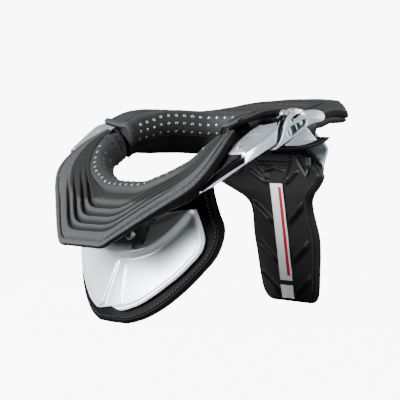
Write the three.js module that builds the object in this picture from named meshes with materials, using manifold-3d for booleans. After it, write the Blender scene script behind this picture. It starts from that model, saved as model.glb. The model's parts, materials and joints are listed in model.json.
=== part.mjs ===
// A rigid neck brace: two padded halves ring the neck, carried by a chest plate and a back strut.
// Millimetres, +Z up. The wearer faces -Y and the wearer's left is +X.
// The working frame has y = 0 near the front edge and z = 0 at the floor; the last lines centre it.
import * as THREE from "three";
import { mergeVertices } from "three/addons/utils/BufferGeometryUtils.js";
import Module from "manifold-3d";

const wasm = await Module();
wasm.setup();

// Driving sizes of the whole brace
const GAP = 0.4;
const DECK_STATIONS = 16;

// Swing pin of each side, and the two sweep radii that keep the arm ends clear of the latch
const PIN_X = 112;
const PIN_Y = 152;
const CUP_RADIUS = 41;
const CUP_TOP_Z = 181;
const TOP_CUP_RADIUS = 27;

// Thickness of the padded decks, their carriers and the other shells
const DECK_THICK = 9;
const CARRIER_THICK = 5;
const CARRIER_INSET = 6;
const HEM = 7;
const RIB_HEIGHT = 2.6;
const PLATE_THICK = 3;
const CHEST_PAD_THICK = 9;
const BACK_PAD_THICK = 10;
const SHELL_THICK = 3;

function table(columns, rows) {
  return rows.map((row) => Object.fromEntries(columns.map((column, i) => [column, row[i]])));
}

// Front deck, from the middle of its front edge round to its end beside the split.
// out and in are the outer and inner edges of the top face, depth is the carrier's wall under it,
// and crown is how far the face swells behind the hem.
const DECK_COLUMNS = ["outX", "outY", "outZ", "inX", "inY", "inZ", "depth", "crown"];
const FRONT_DECK = table(DECK_COLUMNS, [
  [0, -2, 77, 0, 49, 127, 5, 0],
  [16, -2, 77, 10, 49, 127, 5, 0],
  [32, -1.5, 77.5, 20, 49.5, 127.5, 5, 0],
  [42, 3, 84, 29, 50.5, 129, 5, 0],
  [60, 15, 97, 40, 53, 133, 5, 0],
  [80, 28.5, 111, 54, 57, 138, 6, 0],
  [101, 43, 127, 67, 63, 145, 8, 0],
  [110, 53, 141, 77, 70, 152, 9, 0],
  [110, 66, 155, 84, 78, 162, 9, 0],
  [105, 81, 168, 87, 88, 171, 9, 0],
  [98, 96, 179, 87, 97, 177, 8, 0],
  [95, 104, 184, 86, 103, 180, 8, 0],
]);

// Rear deck, from the middle of the tail round to its end beside the split
const REAR_DECK = table(DECK_COLUMNS, [
  [0, 308, 199, 0, 219, 198, 7, 17],
  [22, 308, 199, 12, 218, 198, 7, 17],
  [45, 306, 199.5, 24, 214, 198, 7, 15],
  [60, 298, 202, 36, 208, 198.5, 7, 11],
  [63, 275, 204, 47, 200, 199, 7, 5],
  [70, 245, 200, 58, 188, 199.5, 10, 1],
  [80, 215, 199, 67, 174, 200, 16, 1],
  [91, 185, 202, 74, 158, 200, 20, 1],
  [99, 158, 204, 78, 143, 198, 20, 1],
  [102, 137, 202, 80, 128, 195, 20, 1],
  [100, 121, 196, 80, 117, 190, 16, 0],
  [96, 110, 189, 80, 109, 184, 12, 0],
]);

// Heights of the sewn ribs across a deck; share runs from the hem (0) to the inner edge (1)
const FRONT_RIBS = table(
  ["share", "height"],
  [
    [0.0, -0.35],
    [0.09, 0.35],
    [0.2, 0.5],
    [0.24, -0.1],
    [0.29, 0.75],
    [0.34, 0.7],
    [0.38, 0.1],
    [0.44, 0.95],
    [0.51, 0.9],
    [0.55, 0.3],
    [0.6, 1.0],
    [0.66, 0.95],
    [0.7, 0.45],
    [0.8, 0.75],
    [1.0, 0.6],
  ],
);
const REAR_RIBS = table(
  ["share", "height"],
  [
    [0.0, -0.3],
    [0.15, 0.25],
    [0.35, 0.35],
    [0.42, -0.1],
    [0.5, 0.4],
    [0.7, 0.4],
    [1.0, 0.3],
  ],
);

// Rolls that line the neck opening: n points inwards from the deck, h points up.
// Each roll has one section at the middle of its half and another at the split.
const ROLL_COLUMNS = ["midN", "midH", "sideN", "sideH"];
const FRONT_ROLL = table(ROLL_COLUMNS, [
  [0, 0.5, 0, 0.5],
  [2.5, 2.4, 2, 1.6],
  [6, 2.4, 6, 2],
  [9.5, 0.2, 11, 0.8],
  [12.5, -4.5, 16, -2.5],
  [14, -10, 19.5, -7],
  [13.5, -16, 21, -13],
  [11, -20, 20.5, -19],
  [7, -22, 18, -24],
  [4, -21, 13, -27],
  [2, -19, 7, -25],
  [1, -14, 3, -16],
]);
const REAR_ROLL = table(ROLL_COLUMNS, [
  [0, 0.5, 0, 0.5],
  [2.5, 2.2, 2.5, 2.5],
  [7, 2.6, 7, 3],
  [11.5, 0.5, 11.5, 1],
  [14, -4, 14, -4],
  [14.5, -12, 14.5, -10],
  [13.5, -22, 14, -17],
  [11.5, -31, 13, -23],
  [9, -38, 11, -28],
  [6, -42, 8, -30],
  [3, -40, 4, -28],
  [1, -30, 1, -18],
]);

// Chest plate and pad: half widths over the height, with the edges raised towards the shoulders
const CHEST_PLATE = table(
  ["z", "half", "rise"],
  [
    [13, 14, 0],
    [14, 22, 0],
    [20, 37, 0],
    [29, 51, 0],
    [38, 63, 0],
    [48, 75, 0],
    [58, 84, 0],
    [67, 91, 1],
    [73, 93, 4],
    [78, 90, 8],
    [84, 82, 14],
    [88, 73, 21],
  ],
);
const CHEST_PAD = table(
  ["z", "half", "rise"],
  [
    [0, 20, 0],
    [2.5, 30, 0],
    [8, 44, 0],
    [19, 61, 0],
    [34, 77, 0],
    [50, 90, 0],
    [63, 99.5, 1],
    [74, 103, 5],
    [82, 101, 11],
    [88, 93, 17],
    [93, 86, 23],
    [97, 80, 30],
    [100, 77, 36],
  ],
);
const CHEST_LEAN = 0.34;
const CHEST_BASE_Y = 25.5;
const CHEST_SWEEP = 7.5;
const CHEST_SWEEP_AT = 49;
const CHEST_SWEEP_POWER = 1.4;
const BOSS_HEIGHT = 8;
const BOSS_FOOT_Z = 60;
const BOSS_SIDE_RISE = 54;
const BOSS_SIDE_AT = 80;
const BOSS_SIDE_POWER = 2.6;
const BOSS_BLEND = 11;
const CHANNEL_HALF_TOP = 4;
const CHANNEL_HALF_FOOT = 12;
const CHANNEL_DEPTH = 1.6;
const LIP_HEIGHT = 1.8;

// Back pad and shell: half widths over the height; edge is how far the sides stand behind the middle
const BACK_PAD = table(
  ["z", "half", "edge"],
  [
    [0, 31, -0.5],
    [2, 35.5, -0.5],
    [12, 40, -1],
    [30, 42, -0.5],
    [51, 44.5, 1],
    [71, 46, 1],
    [93, 43.5, -0.5],
    [103, 44.5, -2],
    [110, 48, -5],
    [118, 59, -11],
    [126, 72, -16],
    [134, 79, -18],
    [142, 78, -17],
    [150, 72, -14],
    [157, 62, -10],
    [163, 48, -6],
  ],
);
const BACK_SHELL = table(
  ["z", "half", "shift"],
  [
    [34, 20, 0],
    [40, 31, 0],
    [80, 36, 0],
    [108, 40, 0],
    [126, 58, 0],
    [142, 72, 0],
    [156, 74, 0],
    [165, 72, 0],
    [171, 69, 2],
    [179, 64, 6],
    [188, 60, 12],
  ],
);
const BACK_BASE_Y = 274.2;
const BACK_LEAN = 0.154;
const CHEVRON_HEIGHT = 2.2;
const CHEVRON_HALF_WIDTH = 4;
const CHEVRON_SLOPE = 0.8;
const CHEVRON_INNER_X = 13;
const CHEVRON_OUTER_X = 42;
const CHEVRON_FEET_Z = [10, 45, 86];
const LABEL_HALF = 9;
const LABEL_THICK = 0.8;
const LABEL_PATH = [[0, 23], [0, 57], [0, 91], [0, 126]];
const TAG_PATH = [[0, 4], [0, 18]];
const WING_STRAP = { path: [[37, 153], [44, 144], [52, 136], [57, 142]], half: 2.4, thick: 1.2 };
const WING_TAB = { path: [[60.5, 146.5], [60.5, 154.5]], half: 4, thick: 3 };

// Strap over each end of the rear deck
const COLLAR_STRAP = { share: 0.955, half: 3.5, thick: 1.5, fromEdge: 1.5 };

// Side arm, from its front tip to the latch: the four edges of its section, outer side positive
const ARM = table(
  ["y", "inX", "inZ", "ridgeX", "ridgeZ", "lowX", "lowZ", "baseX", "baseZ"],
  [
    [51, 106, 128, 109.5, 129, 109.5, 126.5, 104, 125],
    [62, 108, 139, 115, 139.5, 114.5, 132, 98, 128],
    [73, 110, 149, 122, 150, 121.5, 141, 96, 134],
    [83, 109, 158, 129.5, 159, 129.5, 150, 96, 142],
    [84, 107, 162, 131, 163, 130.5, 151, 96, 143],
    [102, 103, 173, 135, 174, 133.5, 161, 92, 155],
    [118, 104, 183, 136.5, 184.5, 135, 169, 100, 164],
    [136, 107, 193, 134, 193, 133, 180, 108, 178],
  ],
);
const ARM_END = { x: 128, y: 127, angle: -0.76 };
const CUTTER_REACH = 120;
const PANEL_FROM_Y = 58;
const PANEL_TO_Y = 82;
const PANEL_THICK = 1.6;

// Latch lever outline in side view, and its window
const LEVER_OUTLINE = table(
  ["y", "z"],
  [
    [118, 165],
    [123, 171],
    [130, 178],
    [137, 186],
    [147, 195],
    [158, 200],
    [170, 202.5],
    [184, 201.5],
    [194, 198],
    [194.5, 193],
    [186, 191],
    [170, 191],
    [160, 186.5],
    [148, 179.5],
    [137, 173],
    [128, 167],
    [121, 163.5],
  ],
);
const LEVER_WINDOW = table(
  ["y", "z"],
  [
    [144, 180.5],
    [157, 188],
    [166.5, 192.5],
    [165, 196],
    [150, 192],
    [145, 188],
  ],
);
const LEVER_BAR = { y: 154, z: 189, width: 3, length: 14 };
const LEVER_INNER_X = 122;
const LEVER_THICK = 6;

// Latch boss, housing and shoulder crescent, from front to rear
const BOSS = table(
  ["y", "x", "half", "low", "high"],
  [
    [119, 114, 5, 168.5, 173],
    [126, 113.5, 7.4, 168.5, 180],
    [131, 113, 8.65, 168.5, 180.4],
    [138, 113, 8.65, 168.5, 188],
    [146, 112.5, 9.15, 168.5, 194],
    [157, 112, 9.65, 168.5, 196],
  ],
);
const HOUSING = table(
  ["y", "inX", "outX", "low", "high"],
  [
    [157.5, 96, 120, 169, 193],
    [165, 92, 121, 169, 196],
    [180, 88, 120, 171, 197],
    [194, 84, 115, 174, 195],
    [205, 80, 104, 178, 190],
  ],
);
const CRESCENT = table(
  ["outX", "outY", "inX", "inY", "z"],
  [
    [92, 121, 89, 128, 163],
    [103, 128, 95, 137, 163],
    [111, 139, 99, 147, 163],
    [116, 155, 101, 160, 163],
    [116, 175, 99, 177, 163.5],
    [111, 196, 93, 194, 166],
    [104, 214, 88, 208, 170],
    [97, 230, 90, 224, 174],
  ],
);
const CRESCENT_THICK = 5;

// Small parts
const SCREW_SIDES = 16;
const PIN_HEAD = { radius: 5, height: 3, z: 196.4 };
const ARM_SCREW = { radius: 3, height: 1.6, x: 115, y: 91, slope: 0.54 };
const BOLT = { radius: 5, height: 4.5, x: 24, y: 35.7, z: 85, socket: 2.6 };
const PEG = { radius: 1.6, length: 7, x: 24, y: 41, z: 67.6 };
const BRACKET = table(
  ["z", "half", "front", "back"],
  [
    [75, 30, 38.8, 58],
    [79, 32, 38.5, 59],
    [92, 33, 38.5, 60],
    [112, 33, 44, 61],
  ],
);
const CAP = { fromY: 160, toY: 188, inX: 105, outX: 119, z: 197.4, thick: 4 };

// Paints and finishes
const finish = (color, roughness, metalness = 0) =>
  new THREE.MeshStandardMaterial({ color, roughness, metalness });
const FABRIC = finish(0x46484b, 0.9);
const ROLL_FABRIC = finish(0x3c3e40, 0.9);
const BLACK_FOAM = finish(0x17181a, 0.95);
const BLACK_PLASTIC = finish(0x101113, 0.35);
const SILVER = finish(0xc3cace, 0.32, 0.7);
const CARBON = finish(0x1b1d20, 0.3);
const BRIGHT = finish(0xe6ecef, 0.2, 0.9);
const CREAM = finish(0xd9d3c2, 0.35, 0.6);
const LABEL = finish(0xc8cccc, 0.7);
const GREY_STRAP = finish(0x5b5e61, 0.85);

// Smooth value of a column at a place along the table, from 0 (first row) to 1 (last row)
function along(rows, column, share) {
  const place = Math.min(Math.max(share, 0), 1) * (rows.length - 1);
  const i = Math.min(Math.floor(place), rows.length - 2);
  const f = place - i;
  const value = (k) => rows[Math.min(Math.max(k, 0), rows.length - 1)][column];
  const [a, b, c, d] = [value(i - 1), value(i), value(i + 1), value(i + 2)];
  const slope = (c - a) / 2;
  const nextSlope = (d - b) / 2;
  const blend = 3 * (c - b) - 2 * slope - nextSlope;
  return b + f * (slope + f * (blend + f * (2 * (b - c) + slope + nextSlope)));
}

// Straight-line value of a column against another column
function lookup(rows, key, at, column) {
  const next = rows.findIndex((row) => row[key] >= at);
  if (next === 0) return rows[0][column];
  if (next < 0) return rows[rows.length - 1][column];
  const [a, b] = [rows[next - 1], rows[next]];
  return a[column] + ((b[column] - a[column]) * (at - a[key])) / (b[key] - a[key]);
}

function smoothstep(from, to, x) {
  const f = Math.min(Math.max((x - from) / (to - from), 0), 1);
  return f * f * (3 - 2 * f);
}

// Triangles over a flat or nearly flat ring of points
function capTriangles(ring) {
  const normal = new THREE.Vector3();
  ring.forEach((p, i) => {
    const q = ring[(i + 1) % ring.length];
    normal.x += (p.y - q.y) * (p.z + q.z);
    normal.y += (p.z - q.z) * (p.x + q.x);
    normal.z += (p.x - q.x) * (p.y + q.y);
  });
  const turn = new THREE.Quaternion().setFromUnitVectors(normal.normalize(), new THREE.Vector3(0, 0, 1));
  const flat = ring.map((p) => {
    const q = p.clone().applyQuaternion(turn);
    return new THREE.Vector2(q.x, q.y);
  });
  return THREE.ShapeUtils.triangulateShape(flat, []);
}

// A closed skin over a row of rings with equal point counts, capped at both ends.
// Before ring mirrorAt the quads are split the other way, so that a mirrored loft is symmetric.
function loft(rings, mirrorAt = 0) {
  const count = rings[0].length;
  const positions = rings.flat().flatMap((p) => [p.x, p.y, p.z]);
  const indices = [];
  for (let r = 0; r + 1 < rings.length; r += 1) {
    for (let i = 0; i < count; i += 1) {
      const j = (i + 1) % count;
      const [a, b] = [r * count + i, r * count + j];
      if (r < mirrorAt) indices.push(a, b, b + count, a, b + count, a + count);
      else indices.push(a, b, a + count, b, b + count, a + count);
    }
  }
  const last = (rings.length - 1) * count;
  capTriangles(rings[0]).forEach(([a, b, c]) => indices.push(a, c, b));
  capTriangles(rings[rings.length - 1]).forEach(([a, b, c]) => indices.push(last + a, last + b, last + c));
  return outward(positions, indices);
}

// Faces turned to point out of the solid
function outward(positions, indices) {
  let volume = 0;
  const point = (i) => new THREE.Vector3(positions[3 * i], positions[3 * i + 1], positions[3 * i + 2]);
  for (let k = 0; k < indices.length; k += 3) {
    volume += point(indices[k]).dot(point(indices[k + 1]).cross(point(indices[k + 2])));
  }
  const geometry = new THREE.BufferGeometry();
  geometry.setAttribute("position", new THREE.Float32BufferAttribute(positions, 3));
  geometry.setIndex(volume < 0 ? indices.slice().reverse() : indices);
  return geometry;
}

function toSolid(geometry) {
  const bare = geometry.clone();
  bare.deleteAttribute("normal");
  bare.deleteAttribute("uv");
  const merged = mergeVertices(bare, 1e-4);
  const vertProperties = new Float32Array(merged.attributes.position.array);
  const triVerts = new Uint32Array(merged.index.array);
  return new wasm.Manifold(new wasm.Mesh({ numProp: 3, vertProperties, triVerts }));
}

function toGeometry(solid) {
  const mesh = solid.getMesh();
  const geometry = new THREE.BufferGeometry();
  geometry.setAttribute("position", new THREE.Float32BufferAttribute(mesh.vertProperties, 3));
  geometry.setIndex(Array.from(mesh.triVerts));
  return geometry;
}

// A piece with its neighbours' clearance shapes cut away; only its largest body is kept
function cut(geometry, ...others) {
  let solid = toSolid(geometry);
  others.forEach((other) => {
    solid = solid.subtract(toSolid(other));
  });
  const bodies = solid.decompose();
  bodies.sort((a, b) => b.volume() - a.volume());
  return toGeometry(bodies[0]);
}

function join(first, ...others) {
  let solid = toSolid(first);
  others.forEach((other) => {
    solid = solid.add(toSolid(other));
  });
  return toGeometry(solid);
}

const mirrored = (geometry) => {
  const copy = geometry.clone();
  copy.applyMatrix4(new THREE.Matrix4().makeScale(-1, 1, 1));
  return outward(Array.from(copy.attributes.position.array), Array.from(copy.index.array));
};

const post = (radius, height, x, y, z) =>
  new THREE.CylinderGeometry(radius, radius, height, SCREW_SIDES)
    .rotateX(Math.PI / 2)
    .translate(x, y, z + height / 2);

// Place and directions on a deck at one station: along it, inwards across it, and out of its top face
function deckStation(rows, share) {
  const outer = (s) => new THREE.Vector3(along(rows, "outX", s), along(rows, "outY", s), along(rows, "outZ", s));
  const inner = (s) => new THREE.Vector3(along(rows, "inX", s), along(rows, "inY", s), along(rows, "inZ", s));
  const step = 0.01;
  const [before, after] = [Math.max(share - step, 0), Math.min(share + step, 1)];
  const tangent = inner(after).sub(inner(before)).normalize();
  if (share === 0) tangent.set(1, 0, 0);
  const across = inner(share).sub(outer(share));
  const width = across.length();
  across.normalize();
  const up = new THREE.Vector3().crossVectors(tangent, across).normalize();
  if (up.z < 0) up.negate();
  const inward = new THREE.Vector3().crossVectors(up, tangent);
  if (inward.dot(across) < 0) inward.negate();
  return { outer: outer(share), inner: inner(share), across, width, up, inward };
}

// A mirrored loft along a deck; ringAt gives the ring of the wearer's left side at a share of it
function deckLoft(ringAt) {
  const rings = [];
  for (let i = -DECK_STATIONS; i <= DECK_STATIONS; i += 1) {
    const ring = ringAt(Math.abs(i) / DECK_STATIONS);
    rings.push(ring.map((p) => new THREE.Vector3(i < 0 ? -p.x : p.x, p.y, p.z)));
  }
  return loft(rings, DECK_STATIONS);
}

// Padded deck: rounded hem with a stitch groove, ribs that fade towards the shoulders, flat underside
function deckPad(rows, ribs, ribFade) {
  return deckLoft((share) => {
    const { outer, across, width, up } = deckStation(rows, share);
    const at = (d, h) => outer.clone().addScaledVector(across, d).addScaledVector(up, h);
    const strength = 1 - smoothstep(ribFade[0], ribFade[1], share);
    const hem = Math.min(HEM, width * 0.3);
    const ring = [at(hem * 0.3, -DECK_THICK), at(0, -DECK_THICK * 0.7), at(0, -DECK_THICK * 0.35)];
    ring.push(at(hem * 0.25, -0.4), at(hem * 0.6, 0), at(hem * 0.9, -0.3));
    ribs.forEach((rib) => {
      const height = RIB_HEIGHT * (rib.height * strength + 0.25 * (1 - strength));
      const swell = along(rows, "crown", share) * smoothstep(-0.05, 0.2, rib.share) * (1 - rib.share);
      ring.push(at(hem + (width - hem) * rib.share, height + swell));
    });
    ring.push(at(width, -DECK_THICK));
    return ring;
  });
}

// Moulded carrier under a deck: a band with a deeper outer wall
function deckCarrier(rows, grow) {
  return deckLoft((share) => {
    const { outer, across, width, up } = deckStation(rows, share);
    const at = (d, h) => outer.clone().addScaledVector(across, d).addScaledVector(up, h);
    const top = -DECK_THICK - GAP + grow;
    const depth = along(rows, "depth", share);
    const inset = Math.min(CARRIER_INSET, width * 0.2);
    const wall = Math.min(7, width * 0.35);
    const [low, lip] = [top - 2 * grow - Math.max(depth, CARRIER_THICK), top - 2 * grow - CARRIER_THICK];
    return [
      at(inset - grow, top),
      at(inset - grow, low + 1),
      at(inset + 1.5 - grow, low),
      at(inset + wall + grow, low),
      at(inset + wall + 0.5 + grow, lip),
      at(width - 1 + grow, lip),
      at(width - 1 + grow, top),
    ];
  });
}

// Space round a padded deck that its neighbours stay out of
function deckSpace(rows) {
  const above = 8;
  return deckLoft((share) => {
    const { outer, across, width, up } = deckStation(rows, share);
    const at = (d, h) => outer.clone().addScaledVector(across, d).addScaledVector(up, h);
    return [
      at(-GAP, above),
      at(-GAP, -DECK_THICK * 0.7),
      at(0, -DECK_THICK - GAP),
      at(width, -DECK_THICK - GAP),
      at(width, above),
    ];
  });
}

// Padded roll round the neck opening, set against the inner edge of a deck and upright at the split
function deckRoll(rows, profile, uprightFrom, sideFrom) {
  return deckLoft((share) => {
    const { inner, up, inward } = deckStation(rows, share);
    const upright = smoothstep(uprightFrom, uprightFrom + 0.45, share);
    const side = smoothstep(sideFrom, 1, share);
    const lift = up.clone().lerp(new THREE.Vector3(0, 0, 1), upright).normalize();
    return profile.map(({ midN, midH, sideN, sideH }) => {
      const n = midN + (sideN - midN) * side;
      const h = midH + (sideH - midH) * side;
      return inner.clone().addScaledVector(inward, 2 * GAP + n).addScaledVector(lift, h);
    });
  });
}

// Flat strap across a deck, laid on its top face
function deckStrap(rows, { share, half, thick, fromEdge }) {
  const { outer, across, width, up } = deckStation(rows, share);
  const tangent = new THREE.Vector3().crossVectors(across, up);
  const low = 0.25 * RIB_HEIGHT + GAP;
  const steps = 3;
  const rings = [];
  for (let i = 0; i <= steps; i += 1) {
    const d = fromEdge + ((width - 2 * fromEdge) * i) / steps;
    const corner = (side, h) =>
      outer.clone().addScaledVector(across, d).addScaledVector(tangent, side * half).addScaledVector(up, h);
    rings.push([corner(-1, low), corner(1, low), corner(1, low + thick), corner(-1, low + thick)]);
  }
  return loft(rings);
}

// A curved panel: front(x, z) is its front face, rows give its half width, and the edge is rounded
function panel(rows, front, thickness, options) {
  const { columns, levels, grow = 0, backPoints = 9 } = options;
  const rings = [];
  for (let level = 0; level <= levels; level += 1) {
    const share = level / levels;
    const half = along(rows, "half", share) + grow;
    const rise = rows[0].rise === undefined ? 0 : along(rows, "rise", share);
    let z = along(rows, "z", share);
    if (level === 0) z -= grow;
    if (level === levels) z += grow;
    const ring = [];
    for (let i = 0; i <= columns; i += 1) {
      const u = (2 * i) / columns - 1;
      const x = half * Math.sin((u * Math.PI) / 2);
      const height = z + rise * (x / half) ** 2;
      const edge = smoothstep(0.86, 1, Math.abs(x / half));
      ring.push(new THREE.Vector3(x, front(x, height, share) - grow + edge * thickness * 0.3, height));
    }
    for (let i = backPoints - 1; i >= 0; i -= 1) {
      const u = (2 * i) / (backPoints - 1) - 1;
      const x = half * u * 0.985;
      const height = z + rise * (x / half) ** 2;
      ring.push(new THREE.Vector3(x, front(x, height, share, true) + thickness + grow, height));
    }
    rings.push(ring);
  }
  return loft(rings);
}

// Front faces of the chest pieces: leaning back with height, swept back to the sides
function chestFace(x, z) {
  const sweep = CHEST_SWEEP * (Math.abs(x) / CHEST_SWEEP_AT) ** CHEST_SWEEP_POWER;
  return CHEST_BASE_Y + CHEST_LEAN * z + sweep;
}

function chestPlateFace(x, z, share, back) {
  const face = chestFace(x, z);
  if (back) return face;
  const foot = BOSS_FOOT_Z + BOSS_SIDE_RISE * (Math.abs(x) / BOSS_SIDE_AT) ** BOSS_SIDE_POWER;
  const boss = BOSS_HEIGHT * smoothstep(foot, foot + BOSS_BLEND, z);
  const half = lookup(CHEST_PLATE, "z", z, "half");
  const lip = LIP_HEIGHT * smoothstep(0.8, 0.9, Math.abs(x) / half) * (1 - smoothstep(60, 70, z));
  const down = Math.min(Math.max((BOSS_FOOT_Z - z) / BOSS_FOOT_Z, 0), 1);
  const channelHalf = CHANNEL_HALF_TOP + (CHANNEL_HALF_FOOT - CHANNEL_HALF_TOP) * down;
  const inChannel = 1 - smoothstep(channelHalf - 1.5, channelHalf + 1.5, Math.abs(x));
  const channel = CHANNEL_DEPTH * inChannel * (1 - smoothstep(BOSS_FOOT_Z - 4, BOSS_FOOT_Z, z));
  return face - boss - lip + channel;
}

const chestPadFace = (x, z) => chestFace(x, z) + PLATE_THICK + 2 * GAP;

// Front faces of the back pieces: the middle stands forward below, and the wings curve forward above
function backFace(x, z) {
  const half = lookup(BACK_PAD, "z", z, "half");
  const edge = lookup(BACK_PAD, "z", z, "edge");
  return BACK_BASE_Y - BACK_LEAN * z + edge * Math.min(Math.abs(x) / half, 1) ** 2;
}

// Raised chevrons: three pairs of ribs that run down towards the middle
function chevronHeight(x, z) {
  const away = Math.abs(x);
  const ends = smoothstep(CHEVRON_INNER_X - 2, CHEVRON_INNER_X + 3, away);
  const reach = ends * (1 - smoothstep(CHEVRON_OUTER_X - 6, CHEVRON_OUTER_X, away));
  const ribs = CHEVRON_FEET_Z.map((foot) => {
    const middle = foot + CHEVRON_SLOPE * (away - CHEVRON_INNER_X);
    return Math.max(0, 1 - Math.abs(z - middle) / CHEVRON_HALF_WIDTH);
  });
  return CHEVRON_HEIGHT * reach * Math.max(...ribs);
}

function backPadFace(x, z, share, back) {
  const face = backFace(x, z);
  return back ? face : face - chevronHeight(x, z);
}

function backShellFace(x, z) {
  const shift = lookup(BACK_SHELL, "z", z, "shift");
  return backFace(x, z) + BACK_PAD_THICK + 3 * GAP - shift;
}

// A flat strip laid on the back pad along a path of x and z
function padStrip(path, halfWidth, thick) {
  const points = path.map(([x, z]) => new THREE.Vector2(x, z));
  const rings = points.map((p, i) => {
    const before = points[Math.max(i - 1, 0)];
    const after = points[Math.min(i + 1, points.length - 1)];
    const side = after.clone().sub(before).normalize().rotateAround(new THREE.Vector2(), Math.PI / 2);
    const [a, b] = [p.clone().addScaledVector(side, halfWidth), p.clone().addScaledVector(side, -halfWidth)];
    const on = (q, lift) => new THREE.Vector3(q.x, backFace(q.x, q.y) - lift, q.y);
    const [low, high] = [2 * GAP, 2 * GAP + thick];
    return [on(a, low), on(b, low), on(b, high), on(a, high)];
  });
  return loft(rings);
}

// Side arm, hollowed round the swing pin so that its end passes the latch
function armGeometry(...neighbours) {
  const rings = ARM.map((row) => {
    const corner = (x, z) => new THREE.Vector3(x, row.y, z);
    return [
      corner(row.inX, row.inZ),
      corner(row.ridgeX - 3, row.ridgeZ + 0.3),
      corner(row.ridgeX, row.ridgeZ - 1.5),
      corner(row.lowX, row.lowZ + 1),
      corner(row.lowX - 2, row.lowZ),
      corner(row.baseX, row.baseZ),
    ];
  });
  const cup = post(CUP_RADIUS, CUTTER_REACH, PIN_X, PIN_Y, CUP_TOP_Z - CUTTER_REACH);
  const topCup = post(TOP_CUP_RADIUS, CUTTER_REACH, PIN_X, PIN_Y, CUP_TOP_Z - 1);
  const slantedEnd = new THREE.BoxGeometry(CUTTER_REACH, CUTTER_REACH, CUTTER_REACH);
  slantedEnd.translate(0, CUTTER_REACH / 2, CUP_TOP_Z);
  slantedEnd.rotateZ(ARM_END.angle).translate(ARM_END.x, ARM_END.y, 0);
  return cut(loft(rings), ...neighbours, cup, topCup, slantedEnd);
}

// Woven panel on the front slope of the arm
function armPanelGeometry(deck) {
  const steps = 5;
  const rings = [];
  for (let i = 0; i <= steps; i += 1) {
    const y = PANEL_FROM_Y + ((PANEL_TO_Y - PANEL_FROM_Y) * i) / steps;
    const edge = (column) => lookup(ARM, "y", y, column);
    const [inX, outX] = [edge("inX") + 2.5, edge("ridgeX") - 4];
    const [inZ, outZ] = [edge("inZ") + GAP + 0.3, edge("ridgeZ") + GAP + 0.5];
    rings.push([
      new THREE.Vector3(inX, y, inZ),
      new THREE.Vector3(outX, y, outZ),
      new THREE.Vector3(outX, y, outZ + PANEL_THICK),
      new THREE.Vector3(inX, y, inZ + PANEL_THICK),
    ]);
  }
  return cut(loft(rings), deck);
}

// Latch lever: a rounded plate with a window and a bar across it
function leverGeometry() {
  const outline = new THREE.Shape(LEVER_OUTLINE.map(({ y, z }) => new THREE.Vector2(y, z)));
  const window = LEVER_WINDOW.map(({ y, z }) => new THREE.Vector2(y, z));
  outline.holes.push(new THREE.Path(window));
  const plate = new THREE.ExtrudeGeometry(outline, { depth: LEVER_THICK, bevelEnabled: false });
  const bar = new THREE.BoxGeometry(LEVER_BAR.width, LEVER_BAR.length, LEVER_THICK - 2);
  bar.translate(LEVER_BAR.y, LEVER_BAR.z, LEVER_THICK / 2 - 0.5);
  const lever = join(plate, bar);
  // The outline's own axes become Y and Z, and its thickness becomes X
  const turn = new THREE.Matrix4().makeBasis(
    new THREE.Vector3(0, 1, 0),
    new THREE.Vector3(0, 0, 1),
    new THREE.Vector3(1, 0, 0),
  );
  lever.applyMatrix4(turn);
  return lever.translate(LEVER_INNER_X, 0, 0);
}

function bossGeometry(crescent) {
  const rings = BOSS.map(({ y, x, half, low, high }) => {
    const corner = (side, z) => new THREE.Vector3(x + side * half, y, z);
    const bevel = 2;
    return [
      corner(-1, low),
      corner(1, low),
      corner(1, high - bevel),
      corner(0.7, high),
      corner(-0.7, high),
      corner(-1, high - bevel),
    ];
  });
  return cut(loft(rings), crescent);
}

function housingGeometry(carrier, crescent, deck) {
  const rings = HOUSING.map(({ y, inX, outX, low, high }) => {
    const corner = (x, z) => new THREE.Vector3(x, y, z);
    const middle = (low + high) / 2;
    return [
      corner(inX, low + 1),
      corner(outX - 7, low),
      corner(outX - 2, low + 4),
      corner(outX, middle),
      corner(outX - 1.5, high - 4),
      corner(outX - 6, high),
      corner(inX, high),
    ];
  });
  return cut(loft(rings), carrier, crescent, deck);
}

function crescentGeometry(grow) {
  const steps = 14;
  const rings = [];
  for (let i = 0; i <= steps; i += 1) {
    const at = (column) => along(CRESCENT, column, i / steps);
    const taper = 0.5 + 0.5 * Math.sin(Math.PI * Math.min(Math.max(i / steps, 0.08), 0.92));
    const half = (CRESCENT_THICK / 2) * taper + grow;
    const middle = at("z") + CRESCENT_THICK / 2;
    const side = new THREE.Vector2(at("outX") - at("inX"), at("outY") - at("inY")).normalize();
    const corner = (edge, out, z) =>
      new THREE.Vector3(at(`${edge}X`) + side.x * out, at(`${edge}Y`) + side.y * out, z);
    rings.push([
      corner("in", -grow, middle - half),
      corner("out", grow - 2, middle - half),
      corner("out", grow, middle),
      corner("out", grow - 2, middle + half),
      corner("in", -grow, middle + half),
    ]);
  }
  return loft(rings);
}

function capGeometry() {
  const steps = 6;
  const rings = [];
  for (let i = 0; i <= steps; i += 1) {
    const share = i / steps;
    const y = CAP.fromY + (CAP.toY - CAP.fromY) * share;
    const swell = Math.sin(Math.PI * (0.15 + 0.7 * share));
    const [inX, outX] = [CAP.inX, CAP.outX - 6 * share];
    const top = CAP.z + 1.5 + CAP.thick * swell * (1 - 0.4 * share);
    rings.push([
      new THREE.Vector3(inX, y, CAP.z),
      new THREE.Vector3(outX, y, CAP.z),
      new THREE.Vector3(outX - 2, y, top - 1),
      new THREE.Vector3((inX + outX) / 2, y, top),
      new THREE.Vector3(inX, y, top - 1.5),
    ]);
  }
  return loft(rings);
}

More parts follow.
